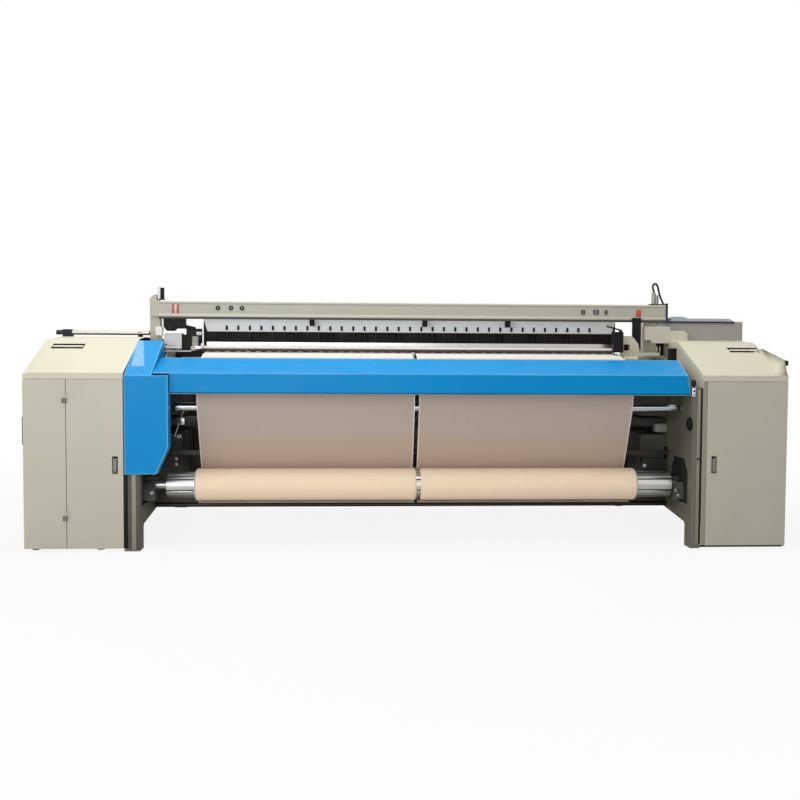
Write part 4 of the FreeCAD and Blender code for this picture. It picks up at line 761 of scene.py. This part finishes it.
GROOVES, FIRST_GROOVE = 7, 150  # their number and the first one's angle
GROOVE_RIM = 82.5  # what lies nearer to the axis than this, in millimetres, is in a groove
TUBE_OUTLINE = [(-1670, 0.5), (-1670, 28), (-1668, 30), (-1558, 30), (-1558, 81), (-1555, 84),
                (-1380, 84), (1480, 84), (1707, 84), (1710, 81), (1710, 30), (1755, 30),
                (1757, 28), (1757, 0.5)]
tube_shell = lathe("tube_shell", TUBE_OUTLINE, ROLL_AXIS, "bright_steel", "cloth_roll",
                   segments=252, grooves=[FIRST_GROOVE + 360 / GROOVES * k for k in range(GROOVES)])
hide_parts("cloth_tube")

# the grooves' bottoms are dark steel: painted shade in the grooves
tube_shell.data.materials.append(MATERIALS["dark_steel"])
roll_middle = at(0, *ROLL_AXIS)
for polygon in tube_shell.data.polygons:
    reach = math.hypot(polygon.center.y - roll_middle.y, polygon.center.z - roll_middle.z)
    in_groove = GROOVED_ABOVE < reach * 1000 < GROOVE_RIM
    polygon.material_index = int(in_groove and abs(polygon.normal.x) < 0.5)


# ---------------------------------------------------------------- healds and top rail

FIRST_CLIP, CLIP_PITCH, CLIPS = -1242, 79.16, 33
CLIP_PLACES = [FIRST_CLIP + CLIP_PITCH * k for k in range(CLIPS)]
blocks_piece("heald_clips", at_each(CLIP_PLACES, (-7, 756, 1382), (7, 762.1, 1413))
             + at_each(CLIP_PLACES, (-3.5, 753, 1392), (3.5, 757, 1403)), "black_plastic",
             "heald_1")
blocks_piece("heald_guides", at_each(CLIP_PLACES, (-0.8, 762.3, 1100), (0.8, 764.5, 1370)),
             "dark_steel", "heald_1", rounding=0.3)
blocks_piece("slat_edge", [((-1400, 760.4, 1369), (1475, 762.1, 1372.5))], "dark_steel", "heald_1",
             rounding=0.4)

rail_left, rail_right = RAIL_ENDS
# the rail's lower strip carries a painted highlight
blocks_piece("rail_strip_painted_highlight", [((rail_left, 688, 1468.6), (rail_right, RAIL_BACK, 1489))],
             "rail_strip_painted_highlight")
# painted shade: a dark line standing in for the shade in the groove near the rail's top
blocks_piece("rail_groove_shade_line", [((rail_left, 689.2, 1556), (rail_right, RAIL_BACK, 1558.5))],
             "rail_ledge", rounding=0.3)
CAPS = [(x, RAIL_FACE, 1530) for x in (-1292, -1204, -1129)]
turned_piece("rail_cap_rings", CAPS, FORWARD,
             [(-INTO, 16), (3, 16), (4.5, 14.5), (4.5, 10), (2, 9)], "black_plastic")
turned_piece("rail_cap_faces", CAPS, FORWARD,
             [(-INTO, 9.1), (2.6, 9.1), (3.6, 7.5), (4.2, 3), (4.3, 0.4)], "rail_ledge")
SWITCHES = ((1226, 13, 6), (1318, 19, 12), (1388, 10, 5))  # X, half width, half width of the keys
blocks_piece("rail_switches", [((x - half, 684, 1506), (x + half, RAIL_FACE + INTO, 1538))
                               for x, half, _ in SWITCHES], "black_plastic", rounding=3)
blocks_piece("rail_switch_keys", [((x - half, 682, 1512 + 14 * k), (x + half, 684.5, 1519 + 14 * k))
                                  for x, _, half in SWITCHES for k in (0, 1)], "grey_plastic")
blocks_piece("rail_red_plates",
             at_each((-1602, -1570), (0, 687.8, 1490), (16, RAIL_BACK, 1556))
             + [((1600, 687.8, 1490), (1636, RAIL_BACK, 1543))], "red_enamel")
blocks_piece("rail_pale_plate", [((-1586, 688.4, 1492), (-1570, RAIL_BACK, 1554))], "rail_strip_painted_highlight")


# ---------------------------------------------------------------- right front post

turned_piece("post_knob", [(1777, 32, 1020)], UP,
             [(-INTO, 6), (9, 6), (11, 11), (15, 14), (40, 14), (46, 11), (49, 5), (49.4, 0.5)],
             "black_plastic")
blocks_piece("post_switch", [((1760, 1, 964), (1780, POST_BACK, 1018))], "white_plastic",
             rounding=3)
turned_piece("post_switch_key", [(1770, 1.2, 1000)], FORWARD,
             [(-INTO, 6.5), (3, 6.5), (4.4, 4), (4.6, 0.5)], "black_plastic", segments=16)
turned_piece("post_switch_stop", [(1770, 1.2, 976)], FORWARD,
             [(-INTO, 5.5), (3, 5.5), (4.4, 3.5), (4.6, 0.5)], "red_enamel",
             segments=16)
turned_piece("post_lock", [(1806, 6.2, 569)], FORWARD,
             [(-INTO, 9), (2, 9), (3, 7.5), (3, 3), (1.6, 2.6)], "dark_steel")


# ---------------------------------------------------------------- dark space behind the cloths

def lever_and_plate(work):
    foot, head = at(-1561, 534, 664), at(-1500, 534, 842)
    run = (head - foot).length * 1000
    add_turned(work, foot, head - foot,
               [(0, 3), (2, 6), (run - 26, 5), (run - 18, 9), (run - 4, 9), (run, 3)], 16)
    add_block(work, (-1550, 528, 744), (-1494, 540, 792), 2)


mesh_piece("left_lever", lever_and_plate, "bright_steel")
blocks_piece("left_tag", [((-1546, 536, 654), (-1516, 540.2, 676))], "white_plastic", rounding=1.5)
turned_piece("left_switch_knobs", [(-1534, 460, 524), (-1534, 460, 487)], FORWARD,
             [(-INTO, 10), (8, 11), (14, 9), (17, 4), (17.4, 0.5)], "white_plastic")
turned_piece("right_switch_knob", [(1604, 460, 476)], FORWARD,
             [(-INTO, 11), (8, 13), (14, 11), (17, 5), (17.4, 0.5)], "white_plastic")
blocks_piece("right_sensor_box", [((1686, 490, 701), (RIGHT_WALL + 0.1, 546, 757))],
             "grey_plastic", rounding=5)
blocks_piece("right_slots", at_each((1772, 1794), (0, 757.6, 1230), (9, 760.2, 1294)),
             "bright_steel", rounding=1)
FLANGE = [(-INTO, 34), (6, 34), (8, 32), (8, 22), (16, 20), (18, 17), (18, 12.5)]
for side, wall, inward in (("left", LEFT_WALL, RIGHTWARD), ("right", RIGHT_WALL, LEFTWARD)):
    turned_piece(f"roller_flange_{side}", [(wall, *GUIDE_AXIS)], inward, FLANGE, "cast_part",
                 segments=40)
turned_piece("wall_boss", [(RIGHT_WALL, 46, 788)], LEFTWARD,
             [(-INTO, 42), (9, 42), (12, 39), (12, 26), (20, 24), (22, 21), (22, 6), (18, 4)],
             "black_plastic", segments=40)
turned_piece("bearing_caps", [(1744, 218, 338), (1762, 218, 304), (-1650, 218, 332)], FORWARD,
             [(-INTO, 13), (7, 13), (9, 11), (9, 6), (5, 5)], "bright_steel")
# the long low block is a dark plate standing in for the shade below the nozzle housing
blocks_piece("left_guard_and_shade_plate", [((-1512, 722, 1240), (-1404, 738, 1389)),
                            ((rail_left, 724, 1176), (-1404, 736, 1246))],
             "bar_black", rounding=2)


# ---------------------------------------------------------------- temple tube and nozzle housing

turned_piece("temple_nuts", [(-1418, 535, 1253)], RIGHTWARD,
             [(0, 12.1), (0.1, 19), (9, 19), (9.1, 14), (16, 14), (16.1, 17), (26, 17), (26.1, 13),
              (33, 13), (33.1, 12.1)], "bright_steel", segments=12)


def nozzle_trim(work):
    """A raised rim round the front of the nozzle housing, rounded at its left corners."""
    left, right, low, high, corner_radius = -1631, -1516, 1253, 1356, 23
    turn = [math.pi / 2 + math.pi / 2 * k / 6 for k in range(7)]
    corner = [(math.cos(angle), math.sin(angle)) for angle in turn]

    def outline(inset):
        radius = corner_radius - inset
        middle = left + corner_radius
        points = [(middle + radius * c, high - corner_radius + radius * s) for c, s in corner]
        points += [(middle + radius * c, low + corner_radius - radius * s) for c, s in corner[::-1]]
        return points + [(right - inset, low + inset), (right - inset, high - inset)]

    profile = ((0, 556.2), (0, 553.4), (1, 552.4), (5, 552.4), (6, 553.4), (6, 556.2))
    join_rings(work, [[work.verts.new(at(x, depth, z)) for x, z in outline(inset)]
                      for inset, depth in profile])
    bmesh.ops.recalc_face_normals(work, faces=work.faces)


mesh_piece("nozzle_rim", nozzle_trim, "white_plastic")
turned_piece("nozzle_plug", [(-1617, 556, 1277)], FORWARD,
             [(-INTO, 5.5), (2, 5.5), (3, 4), (3, 2), (1, 1.8)], "black_plastic", segments=16)


# ---------------------------------------------------------------- louvres, guard parts, and seals, plates and strips painted as shade and light

BOX_FACES = ((3, 2, 1, 0), (4, 5, 6, 7), (0, 1, 5, 4), (1, 2, 6, 5), (2, 3, 7, 6), (3, 0, 4, 7))


def louvre_trim(start):
    """Dark end bars of the louvre slots in a cabinet's slope, from the slots' left end."""
    width, front, rear, slots = 5, 329, 401, 191

    def slope(depth):
        return 1097 + depth * 216 / 479

    def build(work):
        for left in (start - width, start + slots):
            right = left + width
            corners = [work.verts.new(at(x, depth, slope(depth) + rise)) for rise in (-0.3, 0.9)
                       for x, depth in ((left, front), (right, front), (right, rear), (left, rear))]
            for face in BOX_FACES:
                work.faces.new([corners[k] for k in face])
    return build


for side, start in (("left", -2298), ("right", 2137)):
    mesh_piece(f"{side}_louvre_ends", louvre_trim(start), "black_plastic", smooth=False)
blocks_piece("left_guard_block", [((-1442, 714, 1344), (-1406, 722.2, 1367))], "white_plastic",
             rounding=1.5)
blocks_piece("left_guard_studs",
             [((x, 712, z), (x + 11, 722.2, z + 11))
              for x, z in ((-1504, 1362), (-1484, 1334), (-1462, 1318), (-1424, 1316))],
             "dark_steel", rounding=2)
# a dark plate behind the selvedge bracket, standing in for shade
blocks_piece("bracket_shade_backing", [((1474, 598, 1251), (1524, 603, 1302))], "black_plastic")
# a dark plate deep in the machine, standing in for the shade inside it
blocks_piece("inner_shade_plate", [((-1516, 1090, 300), (-1432, 1094, 1030))], "cast_part")
# black strips in the gaps beside the front posts stand in for the shade in those gaps
blocks_piece("right_gap_shade_seal", [((1817.5, 4, 26), (1828.8, POST_BACK, 1016))], "black_plastic",
             rounding=2)
blocks_piece("left_gap_shade_seal", [((-1774, 4, 20), (-1751, POST_BACK, 474))], "black_plastic", rounding=2)
# the posts' sides are painted as shade and their ribs as highlight
blocks_piece("left_post_sides", at_each((-1749,), (0, 8, 12), (20, POST_BACK, 474))
             + at_each((-1700,), (0, 8, 12), (19, POST_BACK, 474)), "post_side_painted_shade",
             rounding=0.5)
blocks_piece("post_ribs", [((-1728, 5, 8), (-1701, POST_BACK, 474)),
                           ((1796, 6, 24), (1816.5, POST_BACK, 1010))], "post_rib_painted_highlight",
             rounding=1.5)
# a black strip under the right cabinet stands in for its contact shadow on the floor
blocks_piece("right_contact_shadow_strip", [((1832, 28, 4), (2371, 36, 18.2))], "black_plastic", rounding=1.5)
# dark frames round the latch windows stand in for the shade in the gaps round them
LATCH_GAP_SHADE = (((-4.5, 480.5), (-0.5, 587.5)), ((24.5, 480.5), (28.5, 587.5)),
              ((-1, 480.5), (25, 484.5)), ((-1, 583.5), (25, 587.5)))
for side, left in (("left", -1837), ("right", 1894)):
    blocks_piece(f"{side}_latch_gap_shade", [((left + x1, -1.4, z1), (left + x2, 0.1, z2))
                                        for (x1, z1), (x2, z2) in LATCH_GAP_SHADE], "black_plastic",
                 f"{side}_door", rounding=0.5)


# ---------------------------------------------------------------- handle, catch and rear screws

def grab_handle(work):
    """A rounded grab handle on the left side and a small catch on the right one."""
    low_end, high_end, depth = 640, 826, 123
    half_thickness, half_width = 0.008, 0.0125
    route = [at(x, depth, z) for x, z in (
        (-2375, low_end), (-2400, low_end), (-2412, low_end + 8),
        (-2412, high_end - 8), (-2400, high_end), (-2375, high_end))]
    rings = []
    for k, point in enumerate(route):
        run = (route[min(k + 1, len(route) - 1)] - route[max(k - 1, 0)]).normalized()
        side = run.cross(Vector(BACKWARD))
        rings.append([work.verts.new(point + side * (half_thickness * math.cos(angle))
                                     + Vector((0, half_width * math.sin(angle), 0)))
                      for angle in full_turn(20)])
    join_rings(work, rings)
    for z in (low_end, high_end):
        add_block(work, (-2378, 106, z - 18), (-2374.8, 140, z + 18), 1)
    add_block(work, (2374.8, 36, 1158), (2380, 54, 1196), 1)
    add_block(work, (2379, 38, 1162), (2392, 52, 1192), 4)


handle = mesh_piece("grab_handle", grab_handle, "black_plastic")
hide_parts("side_handles")

turned_piece("rear_screws", [(x, CABINET_REAR, z) for low, high in ((-2350, -1800), (1850, 2350))
                             for z in (90, 480, 870, 1250) for x in (low, (low + high) / 2, high)],
             BACKWARD, [(-INTO, 6), (1.5, 6), (3.2, 4.4), (3.6, 0.4)], "bright_steel", segments=16)


# ---------------------------------------------------------------- floor and world

FLOOR_HALF = 30.0
look = Finish("floor")
look.feed("Roughness", look.spread(look.cloud(0.5, 2.0), 0.0, 1.0, 0.7, 0.8))
look.feed("Base Color", (0.6, 0.6, 0.6, 1))
glow = look.add("ShaderNodeEmission")
glow.inputs["Strength"].default_value = 1.0
distance = look.add("ShaderNodeVectorMath", operation="LENGTH")
look.put(look.place, distance.inputs[0])
# the camera sees the floor fade into the white behind it, and every other ray its own grey
fading = look.spread(distance.outputs["Value"], 2.6, 6.0, 0.88, 1.0)
share = look.times(look.add("ShaderNodeLightPath").outputs["Is Camera Ray"], fading)
look.put(look.mixed_shader(share, look.shader.outputs["BSDF"], glow.outputs["Emission"]),
         look.output.inputs["Surface"])

floor_mesh = bpy.data.meshes.new("floor")
floor_mesh.from_pydata([(x * FLOOR_HALF, y * FLOOR_HALF, 0.0)
                        for x, y in ((-1, -1), (1, -1), (1, 1), (-1, 1))], [], [(0, 1, 2, 3)])
floor_mesh.materials.append(look.material)
link_object("floor", floor_mesh)

world = bpy.data.worlds.new("studio")
bpy.context.scene.world = world
world.use_nodes = True
sky = Graph(world.node_tree)


def background(strength):
    node = sky.add("ShaderNodeBackground")
    sky.put(WHITE, node.inputs["Color"])
    sky.put(strength, node.inputs["Strength"])
    return node.outputs["Background"]


# white for the camera and in reflections, a softer light for everything else
rays = sky.add("ShaderNodeLightPath").outputs
seen = sky.calculate("MAXIMUM", rays["Is Camera Ray"], rays["Is Glossy Ray"])
sky.put(sky.mixed_shader(seen, background(0.38), background(1.0)),
        sky.add("ShaderNodeOutputWorld").inputs["Surface"])


# ---------------------------------------------------------------- lamps and camera

def lamp(name, place, target, width, height, power):
    data = bpy.data.lights.new(name, "AREA")
    data.shape = "RECTANGLE"
    data.size, data.size_y = width, height
    data.energy = power
    item = link_object(name, data)
    item.location = place
    item.rotation_mode = "QUATERNION"
    item.rotation_quaternion = (Vector(target) - Vector(place)).to_track_quat("-Z", "Y")


lamp("top_light", (-0.8, -1.2, 5.2), (0.0, 0.0, 1.0), 6.0, 3.0, 252)
lamp("front_left_light", (-4.2, -5.6, 2.4), (-1.2, -0.6, 0.8), 2.6, 2.6, 88)
lamp("front_light", (-1.6, -7.2, 1.2), (-0.2, -0.6, 0.5), 4.0, 1.6, 60)

# the camera is fitted to the photo's straight edges
YAW, PITCH, ROLL = math.radians(3.126), math.radians(-2.67), math.radians(0.32)
camera_data = bpy.data.cameras.new("camera")
camera_data.sensor_width = 36.0
camera_data.lens = 42.655
camera = link_object("camera", camera_data)
camera.location = (-0.40328, -6.74995, 1.21078)
camera.rotation_mode = "QUATERNION"
camera.rotation_quaternion = (
    Matrix.Rotation(-YAW, 3, "Z") @ Matrix.Rotation(math.pi / 2 + PITCH, 3, "X")
    @ Matrix.Rotation(ROLL, 3, "Z")).to_quaternion()
bpy.context.scene.camera = camera
bpy.context.scene.view_settings.view_transform = "Standard"
